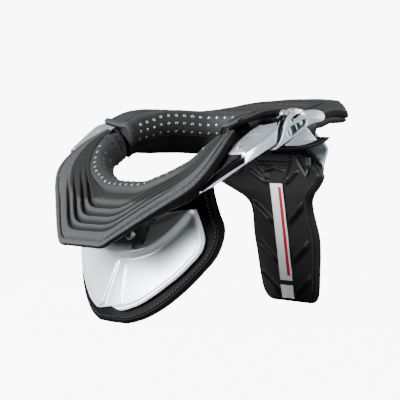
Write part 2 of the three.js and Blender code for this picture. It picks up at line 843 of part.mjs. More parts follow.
// Bracket that carries the chest plate under the front carrier
function bracketGeometry(...neighbours) {
  const rings = BRACKET.map(({ z, half, front, back }) =>
    [
      [-half, back],
      [-half, front + 6],
      [-half * 0.9, front],
      [half * 0.9, front],
      [half, front + 6],
      [half, back],
    ].map(([x, y]) => new THREE.Vector3(x, y, z)),
  );
  return cut(loft(rings), ...neighbours);
}

// Socket-head bolt that points forward out of the bracket
function boltGeometry() {
  const head = new THREE.CylinderGeometry(BOLT.radius, BOLT.radius, BOLT.height, SCREW_SIDES);
  const socket = new THREE.CylinderGeometry(BOLT.socket, BOLT.socket, BOLT.height, 6);
  socket.translate(0, -BOLT.height * 0.5, 0);
  return cut(head, socket).translate(BOLT.x, BOLT.y, BOLT.z);
}

const brace = new THREE.Group();
function add(name, geometry, material) {
  const mesh = new THREE.Mesh(geometry, material);
  mesh.name = name;
  brace.add(mesh);
}

function addPair(name, geometry, material) {
  add(`${name}_left`, geometry, material);
  add(`${name}_right`, mirrored(geometry), material);
}

// Front half
const frontCarrierClear = deckCarrier(FRONT_DECK, GAP);
const plateGrid = { columns: 20, levels: 16, backPoints: 9 };
const padGrid = { columns: 20, levels: 14 };
const chestPlateClear = panel(CHEST_PLATE, chestPlateFace, PLATE_THICK, { ...plateGrid, grow: 2 * GAP });
const chestPadClear = panel(CHEST_PAD, chestPadFace, CHEST_PAD_THICK, { ...padGrid, grow: GAP });
add("front_table_pad", deckPad(FRONT_DECK, FRONT_RIBS, [0.45, 0.68]), FABRIC);
add("front_frame", deckCarrier(FRONT_DECK, 0), BLACK_PLASTIC);
add("front_collar", deckRoll(FRONT_DECK, FRONT_ROLL, 0.5, 0.3), ROLL_FABRIC);
add("chest_plate", panel(CHEST_PLATE, chestPlateFace, PLATE_THICK, plateGrid), SILVER);
add("chest_pad", panel(CHEST_PAD, chestPadFace, CHEST_PAD_THICK, padGrid), BLACK_FOAM);
add("chest_bracket", bracketGeometry(frontCarrierClear, chestPlateClear, chestPadClear), BLACK_PLASTIC);
addPair("chest_bolt", boltGeometry(), BLACK_PLASTIC);
addPair("bracket_peg", post(PEG.radius, PEG.length, PEG.x, PEG.y, PEG.z), BLACK_PLASTIC);
const frontDeckSpace = deckSpace(FRONT_DECK);
addPair("arm", armGeometry(frontCarrierClear, frontDeckSpace, chestPadClear), SILVER);
addPair("arm_panel", armPanelGeometry(frontDeckSpace), CARBON);
const armTop = lookup(ARM, "y", ARM_SCREW.y, "inZ") + 2 * GAP;
const armScrew = post(ARM_SCREW.radius, ARM_SCREW.height, 0, 0, 0).rotateX(ARM_SCREW.slope);
addPair("arm_screw", armScrew.translate(ARM_SCREW.x, ARM_SCREW.y, armTop), CREAM);

// Rear half
const rearCarrierClear = deckCarrier(REAR_DECK, GAP);
const crescentClear = crescentGeometry(GAP);
add("rear_table_pad", deckPad(REAR_DECK, REAR_RIBS, [0.3, 0.6]), FABRIC);
add("rear_frame", deckCarrier(REAR_DECK, 0), BLACK_PLASTIC);
add("rear_collar", deckRoll(REAR_DECK, REAR_ROLL, 0.3, 0.6), ROLL_FABRIC);
const shell = panel(BACK_SHELL, backShellFace, SHELL_THICK, { columns: 12, levels: 12 });
add("back_shell", cut(shell, rearCarrierClear), SILVER);
add("back_pad", panel(BACK_PAD, backPadFace, BACK_PAD_THICK, { columns: 20, levels: 22 }), BLACK_FOAM);
add("label_strip", padStrip(LABEL_PATH, LABEL_HALF, LABEL_THICK), LABEL);
add("label_tag", padStrip(TAG_PATH, LABEL_HALF, LABEL_THICK), LABEL);
addPair("housing", housingGeometry(rearCarrierClear, crescentClear, deckSpace(REAR_DECK)), SILVER);
addPair("housing_cap", capGeometry(), BRIGHT);
addPair("latch_boss", bossGeometry(crescentClear), BLACK_PLASTIC);
addPair("pin_screw", post(PIN_HEAD.radius, PIN_HEAD.height, PIN_X, PIN_Y, PIN_HEAD.z), CREAM);
addPair("shoulder_pad", crescentGeometry(0), BLACK_FOAM);
addPair("collar_strap", deckStrap(REAR_DECK, COLLAR_STRAP), GREY_STRAP);
addPair("wing_strap", padStrip(WING_STRAP.path, WING_STRAP.half, WING_STRAP.thick), GREY_STRAP);
addPair("wing_tab", padStrip(WING_TAB.path, WING_TAB.half, WING_TAB.thick), GREY_STRAP);

// Latch levers
addPair("lever", leverGeometry(), SILVER);

// The middle of the bounding box goes to x = y = 0
const box = new THREE.Box3().setFromObject(brace);
brace.position.y = -(box.min.y + box.max.y) / 2;

export default brace;
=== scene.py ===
import json
import math

import bmesh
import bpy
import numpy as np
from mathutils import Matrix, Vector


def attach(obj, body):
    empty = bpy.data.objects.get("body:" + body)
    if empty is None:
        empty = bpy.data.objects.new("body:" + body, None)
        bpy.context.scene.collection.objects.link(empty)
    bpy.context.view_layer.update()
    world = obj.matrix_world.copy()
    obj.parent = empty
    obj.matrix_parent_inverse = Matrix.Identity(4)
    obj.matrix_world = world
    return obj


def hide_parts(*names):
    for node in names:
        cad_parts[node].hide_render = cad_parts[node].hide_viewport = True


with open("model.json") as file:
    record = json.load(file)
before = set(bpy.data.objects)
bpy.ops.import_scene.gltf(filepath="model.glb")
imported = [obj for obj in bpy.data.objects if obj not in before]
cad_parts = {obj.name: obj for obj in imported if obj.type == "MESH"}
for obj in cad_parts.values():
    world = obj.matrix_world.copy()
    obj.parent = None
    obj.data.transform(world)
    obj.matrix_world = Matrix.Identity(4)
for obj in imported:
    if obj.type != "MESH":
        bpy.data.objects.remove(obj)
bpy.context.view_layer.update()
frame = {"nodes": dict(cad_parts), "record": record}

# Studio: a pale sweep that runs up behind the brace, lit by large soft boxes.
# The camera stands level with the brace, ahead of it and to the wearer's left.
AZIMUTH = math.radians(48)
ELEVATION = math.radians(3)
CAMERA_DISTANCE = 1.5
AIM = Vector((0, -0.0039, 0.137))
AIM_SHIFT = (-0.0027, -0.0247)
right = Vector((math.cos(AZIMUTH), math.sin(AZIMUTH), 0))
level_back = Vector((math.sin(AZIMUTH), -math.cos(AZIMUTH), 0))
back = level_back * math.cos(ELEVATION) + Vector((0, 0, math.sin(ELEVATION)))
up = back.cross(right)
camera = bpy.data.objects.new("camera", bpy.data.cameras.new("camera"))
camera.data.lens = 135
camera.data.sensor_width = 36
camera.location = AIM + CAMERA_DISTANCE * back + AIM_SHIFT[0] * right + AIM_SHIFT[1] * up
camera.rotation_mode = "QUATERNION"
camera.rotation_quaternion = (-back).to_track_quat("-Z", "Y")
bpy.context.scene.collection.objects.link(camera)
bpy.context.scene.camera = camera


def soft_box(name, place, size, power):
    light = bpy.data.objects.new(name, bpy.data.lights.new(name, "AREA"))
    light.data.shape = "RECTANGLE"
    light.data.size, light.data.size_y = size
    light.data.energy = power
    light.location = place
    light.rotation_mode = "QUATERNION"
    light.rotation_quaternion = (AIM - Vector(place)).to_track_quat("-Z", "Y")
    bpy.context.scene.collection.objects.link(light)


soft_box("key_left", AIM - 1.25 * right + 0.6 * back + 0.35 * up, (0.5, 0.9), 77)
soft_box("front_right", AIM + 1.15 * right + 0.95 * back + 0.05 * up, (0.5, 0.9), 36)
soft_box("rim_right", AIM + 1.1 * right - 0.6 * back + 0.6 * up, (0.3, 0.9), 8)
soft_box("top", AIM + 1.3 * up - 0.6 * back, (1.2, 0.5), 6)
soft_box("side_right", AIM + 1.3 * right - 0.25 * back - 0.02 * up, (0.4, 0.9), 5)
SWEEP_WHITE = 9
FLOOR_WHITE = 9
ROOM_LIGHT = 0.13
world = bpy.data.worlds.new("studio")
bpy.context.scene.world = world
world.use_nodes = True
sky = world.node_tree.nodes["Background"]
sky.inputs["Color"].default_value = (1, 1, 1, 1)


def seen_white(tree, socket, unseen, seen):
    """White paper that is brighter to the camera than the light it gives."""
    path = tree.nodes.new("ShaderNodeLightPath")
    level = tree.nodes.new("ShaderNodeMapRange")
    level.inputs["To Min"].default_value = unseen
    level.inputs["To Max"].default_value = seen
    tree.links.new(path.outputs["Is Camera Ray"], level.inputs["Value"])
    tree.links.new(level.outputs["Result"], socket)


seen_white(world.node_tree, sky.inputs["Strength"], ROOM_LIGHT, SWEEP_WHITE)


def new_material(name, color, roughness, metallic=0.0):
    made = bpy.data.materials.new(name)
    made.use_nodes = True
    shader = made.node_tree.nodes["Principled BSDF"]
    shader.inputs["Base Color"].default_value = (*color, 1)
    shader.inputs["Roughness"].default_value = roughness
    shader.inputs["Metallic"].default_value = metallic
    return made, made.node_tree, shader


floor_mesh = bpy.data.meshes.new("floor")
floor_mesh.from_pydata([(-9, -9, 0), (9, -9, 0), (9, 9, 0), (-9, 9, 0)], [], [(0, 1, 2, 3)])
floor = bpy.data.objects.new("floor", floor_mesh)
bpy.context.scene.collection.objects.link(floor)
floor_paint, tree, shader = new_material("floor_paint", (0.15, 0.15, 0.15), 0.9)
shader.inputs["Emission Color"].default_value = (1, 1, 1, 1)
seen_white(tree, shader.inputs["Emission Strength"], 0, FLOOR_WHITE)
floor_mesh.materials.append(floor_paint)

# Front deck: ribbed fabric over moulded foam, with a rounded hem bound and stitched round its outer edge.
# The foam is moulded with terraced ribs, and the fabric is glued down over them.
HEM = 7
HEM_POINTS = 6
FACE_STEPS = 3
UNDER_POINTS = 3
RIB_HEIGHT = 3.6
SWELL_RUN = (-1, 10)
# y of the shared frame's origin in the measures of this file (mm)
CENTRE_Y = 153.853
# outer edge x, y, z; inner edge x, y, z; swell behind the hem; thickness (mm)
FRONT_DECK = np.array([
    (0, -6.5, 77, 0, 45, 122.5, 0, 6),
    (16, -6.5, 77, 10.5, 45, 122.5, 0, 6),
    (31, -6, 77.5, 21, 45.5, 123, 0, 6),
    (41, -1.5, 84, 30.5, 46.5, 124.5, 0, 6),
    (60, 11, 98.5, 42, 49.5, 129, 0, 6.5),
    (80, 25, 114, 56.5, 54, 135, 0, 7.5),
    (101, 40, 130.5, 69.5, 61, 143, 0, 9),
    (110, 51, 144.5, 78.5, 69, 151.5, 0, 9),
    (110, 65, 158, 84, 78, 162, 0, 9),
    (105, 81, 170.5, 87, 88, 171, 0, 9),
    (98, 96, 180, 87, 97, 177, 0, 9),
    (95, 104, 184, 86, 103, 180, 0, 9),
], float)
# share of the way from the hem to the inner edge at the middle, the same at the shoulder,
# and height there as a share of the rib height
FRONT_RIBS = np.array([
    (0.0, 0.0, -0.45), (0.02, 0.03, 0.4), (0.07, 0.12, 0.55), (0.12, 0.2, 0.6), (0.135, 0.225, 0.4),
    (0.15, 0.25, -0.2), (0.18, 0.285, -0.2), (0.2, 0.31, 0.4), (0.235, 0.36, 0.7), (0.26, 0.41, 0.75),
    (0.275, 0.435, 0.55), (0.29, 0.46, -0.25), (0.325, 0.5, -0.25), (0.345, 0.525, 0.5), (0.39, 0.59, 0.85),
    (0.42, 0.64, 0.9), (0.435, 0.665, 0.7), (0.45, 0.69, -0.1), (0.49, 0.73, -0.1), (0.51, 0.755, 0.6),
    (0.55, 0.8, 0.95), (0.59, 0.83, 1.0), (0.605, 0.85, 0.8), (0.62, 0.87, 0.05), (0.66, 0.9, 0.05),
    (0.685, 0.92, 0.7), (0.74, 0.935, 0.9), (0.79, 0.95, 0.8), (0.86, 0.965, 0.5), (1.0, 1.0, 0.35),
])
RIBS_SPREAD = (0.15, 0.5)
# Painted shade on the deck cloth: the grooves, the wall after each and the sunken field inside the ribs are
# coloured darker where shade falls; in the grooves the cloth is also darker.
GROOVE_BELOW = 0.3
GROOVES_FROM = 0.12
WALL_PAINTED_SHADE = 0.8
FRONT_FADE = (0.42, 0.53)
FRONT_EASE = 0.045
FIELD_FROM = (0.77, 0.3)
FIELD_SPREAD = (0.12, 0.5)
FIELD_EDGE = 0.06
FIELD_PAINTED_SHADE = 0.9


def along(rows, share):
    """A smooth row of values part way down a table, from 0 at the first row to 1 at the last."""
    rows = np.asarray(rows, float)
    last = len(rows) - 1
    place = min(max(share, 0), 1) * last
    i = min(int(place), last - 1)
    f = place - i
    a, b, c, d = rows[max(i - 1, 0)], rows[i], rows[i + 1], rows[min(i + 2, last)]
    slope, next_slope = (c - a) / 2, (d - b) / 2
    bend = 3 * (c - b) - 2 * slope - next_slope
    twist = 2 * (b - c) + slope + next_slope
    return b + f * (slope + f * (bend + f * twist))


def smoothstep(low, high, x):
    f = np.clip((x - low) / (high - low), 0, 1)
    return f * f * (3 - 2 * f)


def smooth_line(points, steps):
    """More points on a smooth line through these ones."""
    count = (len(points) - 1) * steps
    return np.array([along(points, i / count) for i in range(count + 1)])


def unit(v):
    return v / np.linalg.norm(v)


def deck_station(deck, share):
    """Place and directions on a deck: outer edge, inner edge, across, width, out of the face, inwards."""
    row = along(deck, share)
    outer, inner = row[0:3], row[3:6]
    tangent = unit(along(deck, share + 0.01)[3:6] - along(deck, share - 0.01)[3:6])
    if share == 0:
        tangent = np.array((1.0, 0, 0))
    width = np.linalg.norm(inner - outer)
    across = (inner - outer) / width
    out = unit(np.cross(tangent, across))
    out = out if out[2] > 0 else -out
    inward = np.cross(out, tangent)
    inward = inward if inward @ across > 0 else -inward
    return outer, inner, across, width, out, inward, row[6], row[7]


def both_sides(left):
    """Rings or points of the wearer's left side, with the mirrored right side put before them."""
    left = np.asarray(left, float)
    return np.concatenate([left[:0:-1] * (-1, 1, 1), left])


def rounded_end(ring_at, stations, end_share):
    """Rings from the middle of a deck to its end, the last ones drawn together to a rounded end."""
    rings = [ring_at(share) for share in np.linspace(0, 1 - end_share, stations)]
    for turn in np.radians((25, 45, 60, 72, 82, 88)):
        ring = ring_at(1 - end_share + end_share * math.sin(turn))
        middle = ring.mean(0)
        rings.append(middle + (ring - middle) * (0.25 + 0.75 * math.cos(turn)))
    return rings


def to_object(name, points, faces, material):
    """A smooth mesh object from points in millimetres, with its faces turned outwards."""
    points = (np.asarray(points, float) - (0, CENTRE_Y, 0)) / 1000
    mesh = bpy.data.meshes.new(name)
    mesh.from_pydata(points.tolist(), [], faces)
    work = bmesh.new()
    work.from_mesh(mesh)
    bmesh.ops.recalc_face_normals(work, faces=work.faces)
    work.to_mesh(mesh)
    work.free()
    mesh.shade_smooth()
    mesh.materials.append(material)
    piece = bpy.data.objects.new(name, mesh)
    bpy.context.scene.collection.objects.link(piece)
    return piece


def skin(name, rings, material):
    """A closed piece over a row of rings, with a fan over each end."""
    rings = np.asarray(rings, float)
    count, sides = rings.shape[:2]
    points = rings.reshape(-1, 3).tolist()
    faces = []
    for r in range(count - 1):
        for i in range(sides):
            j = (i + 1) % sides
            faces.append((r * sides + i, r * sides + j, (r + 1) * sides + j, (r + 1) * sides + i))
    for first in (0, (count - 1) * sides):
        points.append(np.mean(points[first:first + sides], 0).tolist())
        faces += [(len(points) - 1, first + i, first + (i + 1) % sides) for i in range(sides)]
    return to_object(name, points, faces, material)


def deck_section(deck, ribs, fade, share):
    """The ring round a padded deck at one station: hem, ribbed face and flat underside."""
    outer, inner, across, width, out, inward, crown, thick = deck_station(deck, share)
    strength = 1 - smoothstep(fade[0], fade[1], share)
    hem = min(HEM, width * 0.3)
    edge = [(hem * 0.3, -thick), (0, -thick * 0.7), (0, -thick * 0.35), (hem * 0.25, -0.4)]
    edge += [(hem * 0.6, 0), (hem * 0.9, -0.3)]
    edge = [(d, h + crown * smoothstep(*SWELL_RUN, d) * (1 - d / width)) for d, h in edge]
    spread = smoothstep(*RIBS_SPREAD, share)
    shares = ribs[:, 0] * (1 - spread) + ribs[:, 1] * spread
    heights = RIB_HEIGHT * (ribs[:, 2] * strength + 0.25 * (1 - strength))
    reach = hem + (width - hem) * shares
    swell = crown * smoothstep(*SWELL_RUN, reach) * (1 - reach / width)
    face = list(zip(reach, heights + swell))
    section = smooth_line(np.array(edge + face), FACE_STEPS)
    under = [(width, -thick * 0.5), (width, -thick), (width * 0.6, -thick)]
    section = np.concatenate([section, under])
    return outer + section[:, :1] * across + section[:, 1:] * out


def eased_section(deck, ribs, fade, ease, share):
    """A deck section whose ribs are eased round the corners of the deck's outline."""
    own = deck_section(deck, ribs, fade, share)
    near = []
    for step in (-2, -1, 0, 1, 2):
        place = min(share + step * ease, 1)
        ring = deck_section(deck, ribs, fade, abs(place))
        near.append(ring * (-1, 1, 1) if place < 0 else ring)
    hem_end = HEM_POINTS * FACE_STEPS
    places = np.arange(len(own))
    weight = smoothstep(hem_end, 2 * hem_end, places) * (places < len(own) - UNDER_POINTS)
    weight = (weight * (1 - smoothstep(0.7, 0.85, share)))[:, None]
    return own * (1 - weight) + np.mean(near, 0) * weight


def mark_painted_shade(piece, ribs, rings, fade, field_painted_shade):
    """Mark where shade is painted on the cloth: in the grooves, where the cloth is also darker, and in the
    sunken field inside the ribs.
    """
    count, sides = np.asarray(rings).shape[:2]
    low = (ribs[:, 2] < GROOVE_BELOW) & (ribs[:, 0] > GROOVES_FROM)
    wall = np.append(False, low[:-1]) & ~low
    marks = np.concatenate([np.zeros(HEM_POINTS), low + WALL_PAINTED_SHADE * wall])
    places = np.arange(sides) / FACE_STEPS
    round_ring = np.interp(places, np.arange(len(marks)), marks, right=0)
    shares = np.abs(np.arange(count) - count // 2) / (count // 2)
    values = (1 - smoothstep(fade[0], fade[1], shares))[:, None] * round_ring
    spread = smoothstep(*RIBS_SPREAD, shares)[:, None]
    field_spread = smoothstep(*FIELD_SPREAD, shares)[:, None]
    reach = ribs[:, 0] * (1 - spread) + ribs[:, 1] * spread
    start = FIELD_FROM[0] * (1 - field_spread) + FIELD_FROM[1] * field_spread
    field = field_painted_shade * smoothstep(start, start + FIELD_EDGE, reach)
    field = np.hstack([np.zeros((count, HEM_POINTS)), field])
    field = np.array([np.interp(places, np.arange(field.shape[1]), row, right=0) for row in field])
    values = np.append(np.maximum(values, field).ravel(), (0, 0))
    pressed_and_painted_shade = piece.data.attributes.new("pressed_and_painted_shade", "FLOAT", "POINT")
    pressed_and_painted_shade.data.foreach_set("value", values)


def darken_where(tree, shader, mark, share):
    """A surface that is darker where its points carry a mark: painted shade in the grooves and the field of
    a deck, where the grooves are also darker cloth, and painted shade on the chest plate.
    """
    marked = tree.nodes.new("ShaderNodeAttribute")
    marked.attribute_name = mark
    shade = tree.nodes.new("ShaderNodeMix")
    shade.data_type = "RGBA"
    shade.blend_type = "MULTIPLY"
    plain = shader.inputs["Base Color"].links[0].from_socket
    tree.links.new(marked.outputs["Fac"], shade.inputs["Factor"])
    tree.links.new(plain, shade.inputs[6])
    shade.inputs[7].default_value = (*share, 1)
    tree.links.new(shade.outputs[2], shader.inputs["Base Color"])


SPECKLE = (0.35, 0.7)


def grain(tree, shader, scale, strength, distance, light=None):
    """Fine grain: a bump from noise on object coordinates, and a speckle of a lighter thread colour."""
    nodes, links = tree.nodes, tree.links
    where = nodes.new("ShaderNodeTexCoord")
    noise = nodes.new("ShaderNodeTexNoise")
    noise.inputs["Scale"].default_value = scale
    noise.inputs["Detail"].default_value = 3
    links.new(where.outputs["Object"], noise.inputs["Vector"])
    bump = nodes.new("ShaderNodeBump")
    bump.inputs["Strength"].default_value = strength
    bump.inputs["Distance"].default_value = distance
    links.new(noise.outputs["Fac"], bump.inputs["Height"])
    links.new(bump.outputs["Normal"], shader.inputs["Normal"])
    if light:
        ramp = nodes.new("ShaderNodeValToRGB")
        ramp.color_ramp.elements[0].position = SPECKLE[0]
        ramp.color_ramp.elements[0].color = tuple(shader.inputs["Base Color"].default_value)
        ramp.color_ramp.elements[1].position = SPECKLE[1]
        ramp.color_ramp.elements[1].color = (*light, 1)
        links.new(noise.outputs["Fac"], ramp.inputs["Fac"])
        links.new(ramp.outputs["Color"], shader.inputs["Base Color"])


deck_cloth, tree, shader = new_material("deck_cloth", (0.016, 0.0163, 0.0169), 0.8)
shader.inputs["Specular IOR Level"].default_value = 0.2
shader.inputs["Sheen Weight"].default_value = 0.05
shader.inputs["Sheen Roughness"].default_value = 0.5
grain(tree, shader, 1400, 0.4, 0.0004, (0.075, 0.077, 0.0795))
# Painted shade: the cloth is multiplied by this dark grey where the groove and field mark is set.
darken_where(tree, shader, "pressed_and_painted_shade", (0.07, 0.07, 0.07))


def front_deck_section(share):
    return eased_section(FRONT_DECK, FRONT_RIBS, FRONT_FADE, FRONT_EASE, share)


rings = both_sides(rounded_end(front_deck_section, 84, 0.03))
front_deck = skin("front_deck", rings, deck_cloth)
# Mark the painted shade in the grooves and the inner field of the front deck.
mark_painted_shade(front_deck, FRONT_RIBS, rings, FRONT_FADE, FIELD_PAINTED_SHADE)
edging, tree, shader = new_material("black_edging", (0.0016, 0.0016, 0.0018), 0.7)
shader.inputs["Specular IOR Level"].default_value = 0.1
grain(tree, shader, 1500, 0.3, 0.0003, (0.003, 0.003, 0.0032))
EDGING_POINTS = 7


def edge_black(piece, sides):
    """Black tape over the outer side and the underside of a deck."""
    piece.data.materials.append(edging)
    for face in piece.data.polygons:
        first, last = min(v % sides for v in face.vertices), max(v % sides for v in face.vertices)
        wraps = last - first > 2
        outer_side = last <= EDGING_POINTS
        underside = first >= sides - UNDER_POINTS
        face.material_index = int(len(face.vertices) == 4 and (wraps or outer_side or underside))


edge_black(front_deck, len(rings[0]))
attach(front_deck, "front_half")
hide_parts("front_table_pad")


def new_tree(name, sizes):
    """A tree of geometry nodes with seeds and a material coming in, named sizes, and a mesh going out."""
    tree = bpy.data.node_groups.new(name, "GeometryNodeTree")
    tree.interface.new_socket("Seeds", in_out="INPUT", socket_type="NodeSocketGeometry")
    for size in sizes:
        tree.interface.new_socket(size, in_out="INPUT", socket_type="NodeSocketFloat")
    tree.interface.new_socket("Finish", in_out="INPUT", socket_type="NodeSocketMaterial")
    tree.interface.new_socket("Mesh", in_out="OUTPUT", socket_type="NodeSocketGeometry")
    return tree, tree.nodes.new("NodeGroupInput"), tree.nodes.new("NodeGroupOutput")


def end_tree(tree, given, result, instances):
    """Every tree ends by making its instances real and giving them their material."""
    real = tree.nodes.new("GeometryNodeRealizeInstances")
    finish = tree.nodes.new("GeometryNodeSetMaterial")
    tree.links.new(instances, real.inputs["Geometry"])
    tree.links.new(real.outputs["Geometry"], finish.inputs["Geometry"])
    tree.links.new(given.outputs["Finish"], finish.inputs["Material"])
    tree.links.new(finish.outputs["Geometry"], result.inputs["Mesh"])


def squashed_ball(tree, given, segments, rings, across, through):
    """A small ball for instances, with the scale that squashes it to the named sizes."""
    ball = tree.nodes.new("GeometryNodeMeshUVSphere")
    ball.inputs["Segments"].default_value = segments
    ball.inputs["Rings"].default_value = rings
    smooth = tree.nodes.new("GeometryNodeSetShadeSmooth")
    scale = tree.nodes.new("ShaderNodeCombineXYZ")
    tree.links.new(ball.outputs["Mesh"], smooth.inputs["Geometry"])
    tree.links.new(given.outputs[across], scale.inputs["X"])
    tree.links.new(given.outputs[across], scale.inputs["Y"])
    tree.links.new(given.outputs[through], scale.inputs["Z"])
    return smooth.outputs["Geometry"], scale.outputs["Vector"]


def stitch_nodes():
    """Thread stitches along every line of edges in the seeds."""
    tree, given, result = new_tree("stitches", ("Spacing", "Half length", "Thread radius"))
    nodes, links = tree.nodes, tree.links
    line = nodes.new("GeometryNodeMeshToCurve")
    even = nodes.new("GeometryNodeResampleCurve")
    even.mode = "LENGTH"
    place = nodes.new("GeometryNodeInstanceOnPoints")
    tangent = nodes.new("GeometryNodeInputTangent")
    turn = nodes.new("FunctionNodeAlignRotationToVector")
    turn.axis = "Z"
    ball, scale = squashed_ball(tree, given, 6, 4, "Thread radius", "Half length")
    links.new(given.outputs["Seeds"], line.inputs["Mesh"])
    links.new(line.outputs["Curve"], even.inputs["Curve"])
    links.new(given.outputs["Spacing"], even.inputs["Length"])
    links.new(even.outputs["Curve"], place.inputs["Points"])
    links.new(tangent.outputs["Tangent"], turn.inputs["Vector"])
    links.new(ball, place.inputs["Instance"])
    links.new(turn.outputs["Rotation"], place.inputs["Rotation"])
    links.new(scale, place.inputs["Scale"])
    end_tree(tree, given, result, place.outputs["Instances"])
    return tree


def grown(name, tree, seeds, sizes, material):
    """The plain mesh that a tree makes from its seeds, as an object of its own."""
    carrier = bpy.data.objects.new(name + "_seeds", seeds)
    bpy.context.scene.collection.objects.link(carrier)
    maker = carrier.modifiers.new("maker", "NODES")
    maker.node_group = tree
    values = dict(sizes, Finish=material)
    for socket in tree.interface.items_tree:
        if socket.name in values:
            maker[socket.identifier] = values[socket.name]
    bpy.context.view_layer.update()
    ready = carrier.evaluated_get(bpy.context.evaluated_depsgraph_get())
    mesh = bpy.data.meshes.new_from_object(ready)
    bpy.data.objects.remove(carrier)
    piece = bpy.data.objects.new(name, mesh)
    bpy.context.scene.collection.objects.link(piece)
    return piece


def line_seeds(name, lines):
    """Lines of points in millimetres as a mesh of edges."""
    points, edges = [], []
    for line in lines:
        first = len(points)
        points += ((np.asarray(line, float) - (0, CENTRE_Y, 0)) / 1000).tolist()
        edges += [(i, i + 1) for i in range(first, len(points) - 1)]
    mesh = bpy.data.meshes.new(name)
    mesh.from_pydata(points, edges, [])
    return mesh


STITCH = {"Spacing": 0.0037, "Half length": 0.0013, "Thread radius": 0.0006}
stitches = stitch_nodes()
thread, tree, shader = new_material("black_thread", (0.006, 0.006, 0.0065), 0.6)
grain(tree, shader, 3000, 0.3, 0.0002, (0.02, 0.02, 0.021))


def hem_line(deck, share):
    outer, inner, across, width, out, inward, crown, thick = deck_station(deck, share)
    return outer + min(HEM, width * 0.3) * 0.75 * across + 0.15 * out


def sewn(name, lines, body):
    """Rows of stitches along these lines, riding on a body."""
    piece = grown(name, stitches, line_seeds(name, lines), STITCH, thread)
    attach(piece, body)


hem = both_sides([hem_line(FRONT_DECK, share) for share in np.linspace(0, 0.97, 120)])
sewn("front_deck_stitches", [hem], "front_half")

# Front collar: a fat foam roll in stretch fabric, sewn to the inner edge of the deck.
# Rows of eyelets are punched through the fabric, and a rim and a plain sleeve end it at the split.
ROLL_OFF_DECK = 0.8
ROLL_STEPS = 5
RIM_SHARES = (0.872, 0.9)
RIM_SWELL = 0.045
SLEEVE_FROM = (0.905, 0.92)
SLEEVE_SHRINK = 0.1
SLEEVE_REACH = np.array((0.3, 4.2, 1.6))
FRONT_TURN = (0.5, 0.3)
# inwards and up at the middle, then inwards and up at the split (mm)
FRONT_ROLL = np.array([
    (-1.2, -1.5, -1.2, -1.5), (2.5, 3.4, 2, 1.6), (7, 4.6, 6, 2), (12.5, 3, 11, 0.8),
    (17.5, -2, 16, -2.5), (19.5, -8, 19.5, -7), (19, -14, 21, -13), (16.5, -18, 20.5, -19),
    (12, -20.5, 18, -24), (8, -20, 13, -27), (4, -18, 7, -25), (0, -11, 1, -16),
])


def roll_section(deck, roll, upright_from, side_from, share):
    """The ring round a collar at one station of its deck, standing more upright towards the split."""
    outer, inner, across, width, out, inward, crown, thick = deck_station(deck, share)
    upright = smoothstep(upright_from, upright_from + 0.45, share)
    side = smoothstep(side_from, 1, share)
    lift = unit(out * (1 - upright) + np.array((0, 0, 1.0)) * upright)
    section = smooth_line(roll[:, :2] * (1 - side) + roll[:, 2:] * side, ROLL_STEPS)
    return inner + (ROLL_OFF_DECK + section[:, :1]) * inward + section[:, 1:] * lift


def front_roll_section(share):
    ring = roll_section(FRONT_DECK, FRONT_ROLL, *FRONT_TURN, share)
    middle = ring.mean(0)
    rims = sum(math.exp(-((share - rim) / 0.008) ** 2) for rim in RIM_SHARES)
    size = 1 + RIM_SWELL * rims - SLEEVE_SHRINK * smoothstep(*SLEEVE_FROM, share)
    return middle + (ring - middle) * size


def spot(section_at, share, row):
    """Place and outward direction on a roll at a share of its length and a row of its section table."""
    place = abs(share)
    i = int(round(row * ROLL_STEPS))
    ring, ahead = section_at(place), section_at(min(place + 0.01, 1))
    before = section_at(max(place - 0.01, 0))
    normal = unit(np.cross(ahead[i] - before[i], ring[i + 1] - ring[i - 1]))
    normal = normal if normal @ (ring[i] - ring.mean(0)) > 0 else -normal
    flip = (-1, 1, 1) if share < 0 else (1, 1, 1)
    return ring[i] * flip, normal * flip


def even_shares(section_at, row, spacing, last):
    """Shares along one side of a roll, evenly spaced in millimetres."""
    shares = np.linspace(0, last, 120)
    line = np.array([section_at(share)[int(round(row * ROLL_STEPS))] for share in shares])
    length = np.concatenate([[0], np.cumsum(np.linalg.norm(np.diff(line, axis=0), axis=1))])
    count = int(length[-1] / spacing)
    return np.interp((np.arange(count) + 0.5) * spacing, length, shares)


def eyelet_nodes():
    """Round studs or holes on seeds that carry the direction they face."""
    tree, given, result = new_tree("eyelets", ("Radius", "Depth"))
    nodes, links = tree.nodes, tree.links
    place = nodes.new("GeometryNodeInstanceOnPoints")
    facing = nodes.new("GeometryNodeInputNamedAttribute")
    facing.data_type = "FLOAT_VECTOR"
    facing.inputs["Name"].default_value = "facing"
    turn = nodes.new("FunctionNodeAlignRotationToVector")
    turn.axis = "Z"
    ball, scale = squashed_ball(tree, given, 12, 6, "Radius", "Depth")
    links.new(given.outputs["Seeds"], place.inputs["Points"])
    links.new(facing.outputs["Attribute"], turn.inputs["Vector"])
    links.new(ball, place.inputs["Instance"])
    links.new(turn.outputs["Rotation"], place.inputs["Rotation"])
    links.new(scale, place.inputs["Scale"])
    end_tree(tree, given, result, place.outputs["Instances"])
    return tree


def facing_seeds(name, spots):
    """Points in millimetres with a direction each, as a mesh of loose points."""
    places = (np.array([place for place, facing in spots]) - (0, CENTRE_Y, 0)) / 1000
    mesh = bpy.data.meshes.new(name)
    mesh.from_pydata(places.tolist(), [], [])
    facing = mesh.attributes.new("facing", "FLOAT_VECTOR", "POINT")
    facing.data.foreach_set("vector", np.array([facing for place, facing in spots]).ravel())
    return mesh


